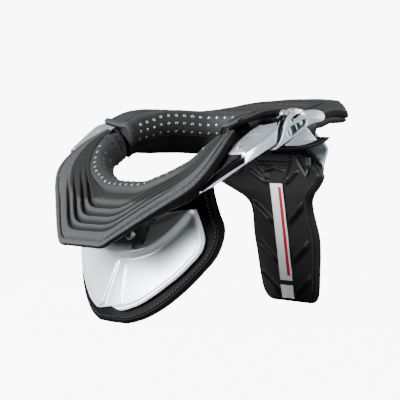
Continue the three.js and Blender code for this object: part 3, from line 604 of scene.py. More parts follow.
roll_cloth, tree, shader = new_material("roll_cloth", (0.016, 0.0163, 0.017), 0.6)
shader.inputs["Specular IOR Level"].default_value = 0.2
shader.inputs["Sheen Weight"].default_value = 0.03
shader.inputs["Sheen Roughness"].default_value = 0.4
grain(tree, shader, 1900, 0.3, 0.0003, (0.034, 0.0348, 0.0363))
rings = [front_roll_section(share) for share in np.linspace(0, 1, 130)]
sleeve_end = rings[-1].mean(0) + (rings[-1] - rings[-1].mean(0)) * 0.93
rings += [sleeve_end + SLEEVE_REACH * part for part in (0.4, 0.8, 1.0)]
rings.append(rings[-1].mean(0) + (rings[-1] - rings[-1].mean(0)) * 0.8)
front_roll = skin("front_roll", both_sides(rings), roll_cloth)
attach(front_roll, "front_half")
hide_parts("front_collar")
eyelets = eyelet_nodes()
EYELET = {"Radius": 0.0016, "Depth": 0.0005}
BRIGHT_ROW = 2.1
# rows whose eyelets take a darker copy of the eyelet metal, as painted shade
PAINTED_SHADE_ROWS = (3.5, 4.7)
EYELET_SPACING = 8.6
EYELETS_END = 0.78
eyelet_metal, tree, shader = new_material("eyelet_metal", (0.3, 0.31, 0.315), 0.3, 0.8)
grain(tree, shader, 1500, 0.1, 0.0002, (0.42, 0.43, 0.435))
hole_black, tree, shader = new_material("hole_black", (0.001, 0.001, 0.001), 0.9)
grain(tree, shader, 1500, 0.1, 0.0002, (0.0015, 0.0015, 0.0016))


def punched(name, section_at, places, material, body, sizes=EYELET):
    """Eyelets or holes at these shares and rows of a roll, riding on a body."""
    spots = [spot(section_at, side * share, row) for share, row in places for side in (-1, 1)]
    piece = grown(name, eyelets, facing_seeds(name, spots), sizes, material)
    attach(piece, body)


shares = even_shares(front_roll_section, BRIGHT_ROW, EYELET_SPACING, EYELETS_END)
places = [(share, BRIGHT_ROW) for share in shares]
punched("front_eyelets", front_roll_section, places, eyelet_metal, "front_half")
# The lower rows face away from the light, so their eyelets are a darker copy of the eyelet metal: painted
# shade.
eyelet_painted_shade, tree, shader = new_material("eyelet_painted_shade", (0.05, 0.051, 0.053), 0.4, 0.6)
grain(tree, shader, 1500, 0.1, 0.0002, (0.08, 0.082, 0.084))
places = [(share, row) for row in PAINTED_SHADE_ROWS
          for share in even_shares(front_roll_section, row, EYELET_SPACING, EYELETS_END)]
punched("front_lower_eyelets", front_roll_section, places, eyelet_painted_shade, "front_half")
HOLE = {"Radius": 0.0014, "Depth": 0.0004}
HOLE_PLACES = ((0.83, 2.2), (0.83, 3.6), (0.84, 4.8), (0.96, 2.6), (0.96, 4), (0.96, 5.2))
punched("front_collar_holes", front_roll_section, HOLE_PLACES, hole_black, "front_half", HOLE)

# Chest plate: a thin silver moulding with a satin lacquer, screwed to the front bracket.
# A raised band runs under the bracket, a beaded channel runs down the middle and a lip runs round the edge.
PLATE_THICK = 3
BAND_HEIGHT = 8
LIP_HEIGHT = 2.2
BEAD_HEIGHT = 1.3
CHANNEL_DEPTH = 1.2
NOTCH_DEPTH = 3
BAND_EDGE = (-2, 3)
BAND_FOOT = 60
BAND_CLIMB = 54
BAND_RISE = 7
CHANNEL_HALF = 5.5
CHANNEL_FLARE = 7.5
CHEST_FACE_Y = 25.5
CHEST_LEAN = 0.34
CHEST_WRAP = 7.5
# Painted shade on the chest plate: the inside of the raised band is darkened as the deck's shadow and a
# painted reflection of the black bracket, and a softer shade fades down below the band's foot, stronger
# towards the sides.
BAND_PAINTED_SHADE = 0.85
HOLLOW_PAINTED_SHADE = 0.85
HOLLOW_REACH = 19
HOLLOW_MIDDLE = 0.3
HOLLOW_SPREAD = (5, 50)
# height, half width, rise of the row towards the sides (mm)
CHEST_PLATE = np.array([
    (13, 14, 0), (14, 22, 0), (20, 37, 0), (29, 50.5, 0), (38, 61.5, 0), (48, 72.5, 0),
    (58, 81, 0), (67, 88, 1), (73, 90, 4), (78, 87.5, 8), (84, 80, 14), (88, 72, 21),
])


def chest_face(x, z):
    """The y of the plate's base face, which leans back as it rises and towards the sides."""
    return CHEST_FACE_Y + CHEST_LEAN * z + CHEST_WRAP * (np.abs(x) / 49) ** 1.4


def channel_half(z):
    """Half the width of the channel, which widens towards the foot."""
    return CHANNEL_HALF + CHANNEL_FLARE * np.clip((60 - z) / 46, 0, 1)


def band_foot(x):
    """Height of the foot of the raised band, which climbs towards the sides."""
    return BAND_FOOT + BAND_CLIMB * (np.abs(x) / 80) ** 2.6


def plate_face(x, z, edge):
    foot = band_foot(x)
    band = BAND_HEIGHT * smoothstep(foot, foot + BAND_RISE, z)
    lip = LIP_HEIGHT * (1 - smoothstep(2.5, 5.5, edge)) * (1 - smoothstep(foot, foot + BAND_RISE, z))
    below_band = 1 - smoothstep(foot - 5, foot, z)
    away = np.abs(x) - channel_half(z)
    bead = BEAD_HEIGHT * np.exp(-(away / 1.3) ** 2) * below_band
    channel = CHANNEL_DEPTH * (1 - smoothstep(-2.2, -0.6, away)) * below_band
    return chest_face(x, z) - band - lip * (away > 0) - bead + channel


def outline_of(rows, levels):
    """The outline of a panel as seen from the front: up its left edge, then down its right one."""
    table = np.array([along(rows, i / levels) for i in range(levels + 1)])
    rise = table[:, 2] if rows.shape[1] > 2 else 0
    side = np.column_stack([table[:, 1], table[:, 0] + rise])
    return np.concatenate([side, side[::-1] * (-1, 1)])


def distance_to(outline, x, z):
    """Distance of points to the nearest part of a closed outline."""
    best = np.full(x.shape, 1e9)
    for a, b in zip(outline, np.roll(outline, -1, 0)):
        step = b - a
        f = ((x - a[0]) * step[0] + (z - a[1]) * step[1]) / max(step @ step, 1e-9)
        f = np.clip(f, 0, 1)
        best = np.minimum(best, np.hypot(x - a[0] - f * step[0], z - a[1] - f * step[1]))
    return best


def panel(name, rows, front, back_face, thickness, material, columns=96, levels=96, notch=None):
    """A curved panel with a rounded edge. Its faces give y, and the front one knows how far the edge is."""
    outline = outline_of(rows, 60)
    table = np.array([along(rows, i / levels) for i in range(levels + 1)])
    rise = table[:, 2] if rows.shape[1] > 2 else np.zeros(levels + 1)
    u = np.sin(np.linspace(-1, 1, columns + 1) * math.pi / 2)
    x = table[:, 1:2] * u
    z = table[:, 0:1] + rise[:, None] * u ** 2
    edge = distance_to(outline, x, z)
    if notch:
        z = z + notch(x, z)
    round_off = thickness * 0.42 * (1 - smoothstep(0, thickness * 0.5, edge))
    near = np.stack([x, front(x, z, edge) + round_off, z], -1)
    far = np.stack([x, back_face(x, z) + thickness - round_off, z], -1)
    rings = np.concatenate([near, far[:, ::-1]], 1)
    return skin(name, rings, material)


def plate_notch(x, z):
    inside = 1 - smoothstep(-1.5, 1.5, np.abs(x) - channel_half(z))
    return NOTCH_DEPTH * inside * (1 - smoothstep(13, 26, z))


silver, tree, shader = new_material("silver_lacquer", (0.68, 0.78, 0.83), 0.34, 0.3)
shader.inputs["Coat Weight"].default_value = 0.5
shader.inputs["Coat Roughness"].default_value = 0.15
grain(tree, shader, 1300, 0.04, 0.0002, (0.73, 0.83, 0.88))
# Painted shade and reflection: the silver is multiplied by this warm grey where the plate's shade mark is
# set.
darken_where(tree, shader, "painted_plate_shade", (0.3, 0.255, 0.235))
chest_plate = panel(
    "chest_shell", CHEST_PLATE, plate_face, chest_face, PLATE_THICK, silver, columns=160, notch=plate_notch
)
# Mark the painted shade on the plate: full inside the band, fading out below its foot.
points = np.array([point.co for point in chest_plate.data.vertices]) * 1000
above = points[:, 2] - band_foot(points[:, 0])
to_sides = HOLLOW_MIDDLE + (1 - HOLLOW_MIDDLE) * smoothstep(*HOLLOW_SPREAD, np.abs(points[:, 0]))
hollow = np.exp(np.minimum(above, 0) / HOLLOW_REACH) * to_sides
band = smoothstep(*BAND_EDGE, above)
painted_plate_shade = chest_plate.data.attributes.new("painted_plate_shade", "FLOAT", "POINT")
painted_plate_shade.data.foreach_set("value", BAND_PAINTED_SHADE * band + HOLLOW_PAINTED_SHADE * hollow * (1 - band))
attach(chest_plate, "front_half")
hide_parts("chest_plate")

# Chest pad: a sheet of black foam laminated with fabric, behind the chest plate.
# Its edge is bound with a rolled tape, stitched up both sides and along the foot.
CHEST_PAD = np.array([
    (0, 20, 0), (2.5, 30, 0), (8, 44, 0), (19, 61, 0), (34, 77, 0), (50, 90, 0), (63, 99.5, 1),
    (74, 103, 5), (82, 101, 11), (88, 93, 17), (93, 86, 23), (97, 80, 30), (100, 77, 36),
])
CHEST_PAD_THICK = 9
PAD_OFF_PLATE = 0.8
BINDING = 4.5
STITCH_INSET = BINDING + 1.3
SEAM_DEPTH = 1.2


def pad_seam(edge):
    return SEAM_DEPTH * np.exp(-((edge - BINDING) / 0.8) ** 2)


def pad_behind_plate(x, z, edge=None):
    hollow = 0 if edge is None else pad_seam(edge)
    return chest_face(x, z) + PLATE_THICK + PAD_OFF_PLATE + hollow


def inset_line(rows, inset, face):
    """A line up both sides of a panel and along its foot, inside its outline, on its front face."""
    outline = outline_of(rows, 60)
    ahead, behind = np.roll(outline, -1, 0), np.roll(outline, 1, 0)
    step = ahead - behind
    side = np.column_stack([-step[:, 1], step[:, 0]]) / np.linalg.norm(step, axis=1)[:, None]
    inner = outline + inset * side
    keep = distance_to(outline, inner[:, 0], inner[:, 1]) > inset * 0.9
    left, right = inner[keep & (inner[:, 0] > 0)], inner[keep & (inner[:, 0] < 0)]
    foot = np.linspace(right[-1], left[0], 9)[1:-1]
    inner = np.concatenate([right, foot, left])
    return np.column_stack([inner[:, 0], face(inner[:, 0], inner[:, 1]), inner[:, 1]])


black_pad, tree, shader = new_material("black_pad", (0.0015, 0.0015, 0.0017), 0.6)
shader.inputs["Specular IOR Level"].default_value = 0.07
grain(tree, shader, 1000, 0.5, 0.0005, (0.003, 0.003, 0.0032))
chest_pad = panel("chest_foam", CHEST_PAD, pad_behind_plate, pad_behind_plate, CHEST_PAD_THICK, black_pad)
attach(chest_pad, "front_half")
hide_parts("chest_pad")
line = inset_line(CHEST_PAD, STITCH_INSET, lambda x, z: pad_behind_plate(x, z) - 0.1)
sewn("chest_pad_stitches", [line], "front_half")

# Rear deck: the same ribbed fabric over foam, rising to a broad tail behind the neck.
# It is bound round its outer edge as the front deck is, and thins to a tongue at each end.
REAR_DECK = np.array([
    (0, 308, 199, 0, 219, 198, 17, 9),
    (22, 308, 199, 12, 218, 198, 17, 9),
    (45, 306, 199.5, 24, 214, 198, 15, 9),
    (60, 298, 202, 36, 208, 198.5, 11, 9),
    (63, 275, 204, 47, 200, 199, 5, 9),
    (70, 245, 200, 58, 188, 199.5, 1, 9),
    (80, 215, 199, 67, 174, 200, 1, 9),
    (91, 185, 202, 74, 158, 200, 1, 9),
    (99, 158, 204, 78, 143, 198, 1, 9),
    (102.5, 136, 202, 80, 128, 195, 1, 8),
    (102, 118, 196.5, 80, 117, 190.5, 0, 6),
    (99.5, 102.5, 190.5, 80, 109, 185.5, 0, 4),
], float)
REAR_RIBS = np.array([
    (0.0, 0.0, -0.4), (0.04, 0.04, 0.15), (0.1, 0.1, 0.3), (0.13, 0.13, 0.45), (0.15, 0.15, -0.4),
    (0.19, 0.18, -0.3), (0.22, 0.22, 0.4), (0.4, 0.4, 0.4), (0.47, 0.47, 0.5), (0.5, 0.5, -0.3),
    (0.53, 0.53, 0.4), (0.66, 0.66, 0.5), (0.69, 0.69, -0.25), (0.72, 0.72, 0.4), (0.85, 0.85, 0.4),
    (1.0, 1.0, 0.3),
])
REAR_FADE = (0.45, 0.8)
REAR_EASE = 0.015


def rear_deck_section(share):
    return eased_section(REAR_DECK, REAR_RIBS, REAR_FADE, REAR_EASE, share)


# A darker copy of the front deck's cloth, as painted shade on the rear deck, with painted shade in its
# grooves as well.
rear_cloth_painted_shade, tree, shader = new_material("rear_deck_cloth_painted_shade", (0.014, 0.0143, 0.0149), 0.8)
shader.inputs["Specular IOR Level"].default_value = 0.2
grain(tree, shader, 1400, 0.4, 0.0004, (0.056, 0.0573, 0.0594))
# Painted shade: the cloth is multiplied by this grey in its grooves.
darken_where(tree, shader, "pressed_and_painted_shade", (0.3, 0.3, 0.3))
rings = both_sides(rounded_end(rear_deck_section, 90, 0.02))
rear_deck = skin("rear_deck", rings, rear_cloth_painted_shade)
# Mark the painted shade in the grooves only, with none in the field.
mark_painted_shade(rear_deck, REAR_RIBS, rings, REAR_FADE, field_painted_shade=0)
edge_black(rear_deck, len(rings[0]))
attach(rear_deck, "rear_half")
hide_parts("rear_table_pad")
hem = both_sides([hem_line(REAR_DECK, share) for share in np.linspace(0, 0.97, 120)])
sewn("rear_deck_stitches", [hem], "rear_half")

# Rear collar: a foam roll in the front collar's stretch fabric, with a black lining sewn below it.
# It hangs from the inner edge of the rear deck round the back of the neck.
REAR_ROLL = np.array([
    (-1.2, -1.5, -1.2, -1.5), (2.5, 2.2, 2.5, 2.5), (7, 2.6, 7, 3), (11.5, 0.5, 11.5, 1),
    (14.2, -4, 14.2, -4), (14.8, -11, 14.8, -9.5), (13.2, -18.5, 13.8, -16), (9.2, -23.5, 10.5, -20.5),
    (10.2, -28, 11.8, -23.5), (10.5, -33, 11.8, -26.5), (8.6, -39, 10, -29.5), (5.5, -42, 7.5, -30),
    (3, -40, 4, -28), (-0.5, -28, 0, -18),
])
LINING_ROW = 7
REAR_TURN = (0.3, 0.6)
END_RINGS = 5


def rear_roll_section(share):
    return roll_section(REAR_DECK, REAR_ROLL, *REAR_TURN, share)


rings = both_sides(rounded_end(rear_roll_section, 110, 0.025))
rear_roll = skin("rear_roll", rings, roll_cloth)
lining, tree, shader = new_material("black_lining", (0.0016, 0.0016, 0.0018), 0.6)
shader.inputs["Specular IOR Level"].default_value = 0.12
grain(tree, shader, 1600, 0.35, 0.0003, (0.004, 0.004, 0.0042))
rear_roll.data.materials.append(lining)
sides = len(rings[0])
for face in rear_roll.data.polygons:
    row = min(v % sides for v in face.vertices) / ROLL_STEPS
    ring = min(face.vertices) // sides
    at_end = ring < END_RINGS or ring >= len(rings) - 1 - END_RINGS
    face.material_index = int(at_end or row >= LINING_ROW)
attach(rear_roll, "rear_half")
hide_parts("rear_collar")
REAR_EYELET_ROWS = (3.75, 5, 6.2)
REAR_SPACING_ROW = 3.8
REAR_EYELETS_END = 0.95
shares = even_shares(rear_roll_section, REAR_SPACING_ROW, EYELET_SPACING, REAR_EYELETS_END)
places = [(share, row) for row in REAR_EYELET_ROWS for share in shares]
REAR_EYELET = {"Radius": 0.0018, "Depth": 0.0006}
punched("rear_eyelets", rear_roll_section, places, eyelet_metal, "rear_half", REAR_EYELET)

# Back pad: black foam laminated with fabric, heat-pressed into raised chevrons, with a bound edge.
# It lies on the back shell and rests on the wearer's spine.
BACK_PAD_THICK = 10
CHEVRON_FEET = (10, 45, 86)
CHEVRON_HEIGHT = 4.6
# height, half width, how far the sides stand behind the middle (mm)
BACK_PAD = np.array([
    (0, 27, -0.5), (1.5, 33, -0.5), (6, 38, -0.7), (14, 41.5, -1), (30, 44, -0.5), (51, 46.5, 1),
    (71, 48, 1), (93, 45.5, -0.5), (103, 46, -2), (110, 49.5, -5), (118, 60, -11), (126, 73, -16),
    (134, 80, -18), (142, 77, -17), (150, 67, -14), (157, 57, -10), (163, 46, -6),
])
# raised lines of the neck of the pad: from x, z to x, z
NECK_RIDGES = ((15, 127, 34, 139), (14, 132, 26, 152), (0, 147, 19, 147), (0, 143, 13, 140))
NECK_RIDGE_HEIGHT = 3.4


def back_face(x, z):
    half = np.interp(z, BACK_PAD[:, 0], BACK_PAD[:, 1])
    side = np.interp(z, BACK_PAD[:, 0], BACK_PAD[:, 2])
    return 274.2 - 0.154 * z + side * np.minimum(np.abs(x) / half, 1) ** 2


def back_pad_face(x, z, edge):
    away = np.abs(x)
    reach = smoothstep(10, 15, away) * (1 - smoothstep(33, 38, away))
    ribs = [np.clip(1 - np.abs(z - foot - 0.8 * (away - 13)) / 5, 0, 1) for foot in CHEVRON_FEET]
    raised = CHEVRON_HEIGHT * reach * smoothstep(0, 0.8, np.max(ribs, 0))
    for x0, z0, x1, z1 in NECK_RIDGES:
        step = np.array((x1 - x0, z1 - z0))
        f = np.clip(((away - x0) * step[0] + (z - z0) * step[1]) / (step @ step), 0, 1)
        gap = np.hypot(away - x0 - f * step[0], z - z0 - f * step[1])
        raised = np.maximum(raised, NECK_RIDGE_HEIGHT * (1 - smoothstep(0.4, 3.2, gap)))
    return back_face(x, z) - raised + pad_seam(edge)


pressed_pad, tree, shader = new_material("pressed_pad", (0.0035, 0.0035, 0.0038), 0.5)
shader.inputs["Specular IOR Level"].default_value = 0.3
grain(tree, shader, 1000, 0.4, 0.0004, (0.009, 0.009, 0.0095))
back_pad = panel(
    "back_foam", BACK_PAD[:, :2], back_pad_face, back_face, BACK_PAD_THICK, pressed_pad,
    columns=110, levels=190,
)
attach(back_pad, "rear_half")
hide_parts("back_pad")
line = inset_line(BACK_PAD[:, :2], STITCH_INSET, lambda x, z: back_face(x, z) - 0.1)
sewn("back_pad_stitches", [line], "rear_half")

# Back shell: the same silver moulding as the chest plate, behind the back pad.
# It hooks under the rear carrier and takes the load down the spine.
# A bead stiffens it along each edge, and a beaded channel runs down its middle as on the chest plate.
SHELL_THICK = 3
SHELL_OFF_PAD = 0.9
SHELL_BEAD = 1.5
SHELL_BEAD_INSET = 7
SHELL_CHANNEL = 1.1
SHELL_CHANNEL_HALF = 7
SHELL_CHANNEL_FLARE = 6
BEADS_START = (40, 52)
BEADS_END = (158, 172)
# height, half width, how far the top leans in under the deck (mm)
BACK_SHELL = np.array([
    (34, 20, 0), (40, 31, 0), (80, 36, 0), (108, 40, 0), (126, 58, 0), (142, 72, 0), (156, 74, 0),
    (165, 72, 0), (171, 69, 2), (179, 64, 6), (187.5, 60, 11.5),
])


def shell_front(x, z, edge=None):
    lean = np.interp(z, BACK_SHELL[:, 0], BACK_SHELL[:, 2])
    return back_face(x, z) + BACK_PAD_THICK + SHELL_OFF_PAD - lean


def shell_back(x, z):
    half = np.interp(z, BACK_SHELL[:, 0], BACK_SHELL[:, 1])
    inside = smoothstep(*BEADS_START, z) * (1 - smoothstep(*BEADS_END, z))
    edge_bead = np.exp(-((half - np.abs(x) - SHELL_BEAD_INSET) / 1.7) ** 2)
    away = np.abs(x) - SHELL_CHANNEL_HALF - SHELL_CHANNEL_FLARE * smoothstep(60, 160, z)
    channel = SHELL_BEAD * np.exp(-(away / 1.5) ** 2) - SHELL_CHANNEL * (1 - smoothstep(-2.4, -0.8, away))
    return shell_front(x, z) + inside * (SHELL_BEAD * edge_bead + channel)


spine_shell = panel(
    "spine_shell", BACK_SHELL[:, :2], shell_front, shell_back, SHELL_THICK, silver, columns=160, levels=120
)
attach(spine_shell, "rear_half")
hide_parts("back_shell")

# Carriers: black moulded bands with a satin face, screwed under the decks.
# The bracket with its bolts and pegs hangs from the front one and holds the chest plate.
bodies = frame["record"]["behaviour"]["bodies"]
SHARP = math.radians(32)


def merged_copy(node, flat=True, cuts=()):
    """The mesh of a CAD node with its triangles merged, cut along y, z lines where its finish changes."""
    mesh = frame["nodes"][node].data.copy()
    work = bmesh.new()
    work.from_mesh(mesh)
    bmesh.ops.remove_doubles(work, verts=work.verts, dist=1e-6)
    if flat:
        bmesh.ops.dissolve_limit(work, angle_limit=math.radians(1), verts=work.verts, edges=work.edges)
    for y0, z0, y1, z1 in cuts:
        place = Vector((0, y0 - CENTRE_Y, z0)) / 1000
        geometry = work.verts[:] + work.edges[:] + work.faces[:]
        bmesh.ops.bisect_plane(work, geom=geometry, plane_co=place, plane_no=(0, z0 - z1, y1 - y0))
    work.to_mesh(mesh)
    work.free()
    return mesh


def dress(node, material, bevel, slot, flat=True):
    """A copy of a hard CAD node with its triangles merged and its edges bevelled."""
    return finish(node, merged_copy(node, flat), material, bevel, slot)


def finish(node, mesh, material, bevel, slot):
    """A hard piece that stands in for a CAD node, bevelled along its sharp edges."""
    mesh.materials.clear()
    mesh.materials.append(material)
    mesh.shade_smooth()
    mesh.set_sharp_from_angle(angle=SHARP)
    piece = bpy.data.objects.new(node + "_dressed", mesh)
    bpy.context.scene.collection.objects.link(piece)
    edge = piece.modifiers.new("edge", "BEVEL")
    edge.width = bevel
    edge.segments = 2
    edge.limit_method = "ANGLE"
    edge.angle_limit = SHARP
    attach(piece, body_of(node))
    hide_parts(node)
    return piece


def body_of(node):
    return next(name for name, members in bodies.items() if node in members)


black_plastic, tree, shader = new_material("black_plastic", (0.0014, 0.0014, 0.0016), 0.4)
shader.inputs["Specular IOR Level"].default_value = 0.18
grain(tree, shader, 700, 0.08, 0.0002)
# how far the carriers stand below their decks, at the outer edge and further in, from middle to end (mm)
FRONT_DEPTH = np.array([
    (0.8, 3), (0.8, 3), (0.8, 3), (1, 3), (2, 4), (4, 5), (6, 6), (6, 6), (5, 5), (4, 4), (3, 3), (2, 2),
])
REAR_DEPTH = np.array([
    (1.5, 6.5), (1.5, 6.5), (1.5, 6.5), (2.5, 7), (5, 9), (8, 10), (12, 12), (14, 14), (14, 14), (12, 12),
    (8, 8), (5, 5),
])


def carrier_section(deck, depth, share):
    outer, inner, across, width, out, inward, crown, thick = deck_station(deck, share)
    shallow, deep = -thick - along(depth, share)
    top = 0.3 - thick
    rim = [(2.5, top), (3, top * 0.4 + shallow * 0.6), (min(5.5, width * 0.2), shallow)]
    belly = [(width * 0.22, shallow), (width * 0.34, deep), (width * 0.9, deep), (width - 1.5, top)]
    section = np.array(rim + belly)
    return outer + section[:, :1] * across + section[:, 1:] * out


for end, deck, depth in (("front", FRONT_DECK, FRONT_DEPTH), ("rear", REAR_DECK, REAR_DEPTH)):
    rings = both_sides([carrier_section(deck, depth, share) for share in np.linspace(0, 0.93, 80)])
    carrier = skin(end + "_carrier", rings, black_plastic)
    carrier.data.set_sharp_from_angle(angle=math.radians(50))
    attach(carrier, end + "_half")
    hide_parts(end + "_frame")
dress("chest_bracket", black_plastic, 0.0012, "black_plastic", flat=False)
# share of the CAD peg's length that shows
PEG_SHARE = 0.5
# x, z of the left bolt, and the y and radius of its rings from behind the head into the recess (mm)
BOLT = (24, 85)
BOLT_DEPTHS = (38.3, 34.1, 33.5, 33.5, 36.6, 36.7)
BOLT_RADII = (5, 5, 4.5, 2.9, 2.7, 0.3)
BOLT_SIDES = 36
dark_steel, tree, shader = new_material("dark_steel", (0.2, 0.205, 0.21), 0.3, 0.9)
grain(tree, shader, 900, 0.05, 0.0002, (0.26, 0.265, 0.27))


def socket_bolt(name, flip):
    """A socket-head bolt that faces forwards, with a six-sided recess."""
    turns = np.linspace(0, 2 * math.pi, BOLT_SIDES, endpoint=False)
    six = np.cos(math.pi / 6) / np.cos((turns % (math.pi / 3)) - math.pi / 6)
    rings = []
    for depth, radius in zip(BOLT_DEPTHS, BOLT_RADII):
        reach = radius * (six if radius < 4 else np.ones(BOLT_SIDES))
        x, z = BOLT[0] + reach * np.cos(turns), BOLT[1] + reach * np.sin(turns)
        rings.append(np.column_stack([x, np.full(BOLT_SIDES, depth), z]))
    bolt = skin(name, np.array(rings) * (flip, 1, 1), dark_steel)
    bolt.data.set_sharp_from_angle(angle=math.radians(35))
    return bolt


for side, flip in (("left", 1), ("right", -1)):
    bolt = socket_bolt("socket_bolt_" + side, flip)
    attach(bolt, "front_half")
    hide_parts("chest_bolt_" + side)
    peg = dress("bracket_peg_" + side, black_plastic, 0.0004, "black_plastic")
    peg_top = max(point.co.z for point in peg.data.vertices)
    for point in peg.data.vertices:
        point.co.z = peg_top - PEG_SHARE * (peg_top - point.co.z)

# Side arms: silver mouldings that reach from the front carrier back to the latches.
# Each front wedge is glossy black above a bright edge, with a dark woven insert and a small plated screw.
# The top is given a darker copy of the silver and the sides a lighter one, as painted shade and painted
# light, and a thin plate covers the joint in the top.
gloss_black, tree, shader = new_material("gloss_black", (0.0025, 0.0025, 0.003), 0.12)
shader.inputs["Specular IOR Level"].default_value = 0.5
grain(tree, shader, 600, 0.03, 0.0002)


def lacquered(name, color):
    """Silver lacquer under a clear coat, with a speckle of lighter flakes."""
    made, tree, shader = new_material(name, color, 0.28, 0.65)
    shader.inputs["Coat Weight"].default_value = 0.4
    shader.inputs["Coat Roughness"].default_value = 0.12
    grain(tree, shader, 1300, 0.04, 0.0002, tuple(1.08 * value for value in color))
    return made


latch_silver = lacquered("latch_silver", (0.5, 0.59, 0.635))
# A lighter and a darker copy of the latch silver: painted light on the sides of the arms and painted shade
# on their tops.
arm_silver_painted_light = lacquered("arm_silver_painted_light", (0.7, 0.8, 0.85))
arm_top_silver_painted_shade = lacquered("arm_top_silver_painted_shade", (0.44, 0.52, 0.56))
# A darker copy of the silver for the dish below the lever, as painted shade from the lever.
dish_silver_painted_shade = lacquered("dish_silver_painted_shade", (0.34, 0.4, 0.435))
# the back of the wedge, and its bright edge from y, z to y, z (mm)
WEDGE_BACK_Y = 83.5
WEDGE_EDGE = (51, 127.6, 83, 152.8)
# how far up a face of an arm must look to take the painted shade of the top
TOP_FACING = 0.6


def above_line(face, line):
    """Whether the middle of a face lies above a line in side view."""
    y, z = face.center.y * 1000 + CENTRE_Y, face.center.z * 1000
    y0, z0, y1, z1 = line
    return (z - z0) * (y1 - y0) > (z1 - z0) * (y - y0)


for side in ("left", "right"):
    back_cut = (WEDGE_BACK_Y, 0, WEDGE_BACK_Y, -1)
    mesh = merged_copy("arm_" + side, cuts=(back_cut, WEDGE_EDGE))
    arm = finish("arm_" + side, mesh, arm_silver_painted_light, 0.0009, "silver_shell")
    arm.data.materials.append(gloss_black)
    arm.data.materials.append(arm_top_silver_painted_shade)
    # Faces of the wedge above its edge are black; faces that look up take the darker silver, as painted
    # shade.
    for face in arm.data.polygons:
        if face.center.y * 1000 + CENTRE_Y < WEDGE_BACK_Y and above_line(face, WEDGE_EDGE):
            face.material_index = 1
        elif face.normal.z > TOP_FACING:
            face.material_index = 2
# x, y corners of the cover over the joint in the top of the arm, and its thickness (mm)
COVER = ((104.5, 110), (120, 110), (121, 119), (104.5, 119))
COVER_THICK = 0.32
# a point in the top of the left arm, and how far that top rises per mm of x and y
ARM_TOP = (107, 84, 162.1)
ARM_TOP_SLOPE = (0.06, 0.618)


def arm_top(x, y):
    """Height of the sloping top of an arm."""
    return ARM_TOP[2] + ARM_TOP_SLOPE[1] * (y - ARM_TOP[1]) + ARM_TOP_SLOPE[0] * (x - ARM_TOP[0])


# The cover takes the darker silver of the tops, as painted shade.
for side, flip in (("left", 1), ("right", -1)):
    low = [(x * flip, y, arm_top(x, y) - 0.2) for x, y in COVER]
    high = [(x, y, z + COVER_THICK) for x, y, z in low]
    cover = skin("arm_cover_" + side, [low, high], arm_top_silver_painted_shade)
    cover.data.set_sharp_from_angle(angle=math.radians(30))
    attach(cover, "front_half")
woven_insert, tree, shader = new_material("woven_insert", (0.01, 0.0105, 0.0115), 0.4)
shader.inputs["Coat Weight"].default_value = 0.15
weave = tree.nodes.new("ShaderNodeTexChecker")
weave.inputs["Scale"].default_value = 480
weave.inputs["Color1"].default_value = (0.002, 0.002, 0.0023, 1)
weave.inputs["Color2"].default_value = (0.02, 0.0205, 0.022, 1)
where = tree.nodes.new("ShaderNodeTexCoord")
tree.links.new(where.outputs["Object"], weave.inputs["Vector"])
tree.links.new(weave.outputs["Color"], shader.inputs["Base Color"])
screw_metal, tree, shader = new_material("screw_metal", (0.62, 0.58, 0.5), 0.3, 0.8)
grain(tree, shader, 1500, 0.06, 0.0002, (0.7, 0.66, 0.58))
for side in ("left", "right"):
    dress("arm_panel_" + side, woven_insert, 0.0003, "woven_panel")
    dress("arm_screw_" + side, screw_metal, 0.0006, "screw_metal")

# Latches: silver housings on the rear carrier with a bright cap, a glossy black boss and a pin screw.
# The levers pivot on the bosses and hold the arms shut; a black hook runs up beside each lever.
bright, tree, shader = new_material("bright_cap", (0.62, 0.65, 0.67), 0.18, 0.8)
grain(tree, shader, 900, 0.03, 0.0002, (0.7, 0.72, 0.74))
# y, z, outer x and half width of the hook, from its foot up (mm)
HOOK = np.array([
    (120.5, 167.2, 126.5, 1.6), (125.5, 171.2, 127, 2.6), (129, 176, 126.5, 3), (131, 181, 125.5, 3.1),
    (132.6, 186, 125, 3), (135, 191, 125, 2.8), (139.5, 195.8, 124.5, 1.8),
])
HOOK_INNER_X = 115


def hook_rings():
    """Rings up the left hook, flat across and rounded at its sides."""
    rings = []
    for share in np.linspace(0, 1, 40):
        y, z, outer, half = along(HOOK, share)
        ahead = along(HOOK, share + 0.02) - along(HOOK, share - 0.02)
        side = unit(np.array((-ahead[1], ahead[0])))
        middle, reach = (outer + HOOK_INNER_X) / 2, (outer - HOOK_INNER_X) / 2
        ring = []
        for turn in np.linspace(0, 2 * math.pi, 24, endpoint=False):
            across, through = math.cos(turn), math.sin(turn)
            x = middle + reach * math.copysign(abs(through) ** 0.5, through)
            ring.append((x, y + side[0] * half * across, z + side[1] * half * across))
        rings.append(ring)
    return np.array(rings)


# outline of the lever with its slot, and its window, in side view: y, z (mm)
LEVER = np.array([
    (120.5, 165.2), (127, 168.6), (131.5, 173.5), (134.3, 179.5), (136.6, 186.5), (139.8, 192.5),
    (145, 196.8), (150.4, 199.4), (152.6, 199.4), (152.4, 197.4), (147.4, 194.4), (145.4, 192.2),
    (146.8, 190.4), (150, 191), (158.5, 194.8), (161.8, 197), (163, 200), (173, 201.8), (183.5, 201.4),
    (190, 198.6), (191.8, 194.4), (187.5, 190.8), (174, 188.6), (164.4, 184), (147, 174.8), (133, 168),
    (125, 164.4),
])
LEVER_WINDOW = np.array([
    (142, 184.6), (152, 188.4), (162.5, 192.6), (165.4, 192), (165, 189), (162, 186.2), (146.5, 177.2),
    (143, 177.8), (141.4, 181),
])
LEVER_MIDDLE_X = 125
LEVER_HALF = 3
LEVER_ROUND = 0.9
LEVER_HINGE = (122, 168)
LEVER_ALONG = (0.742, -0.67)
RELIEF = 0.9
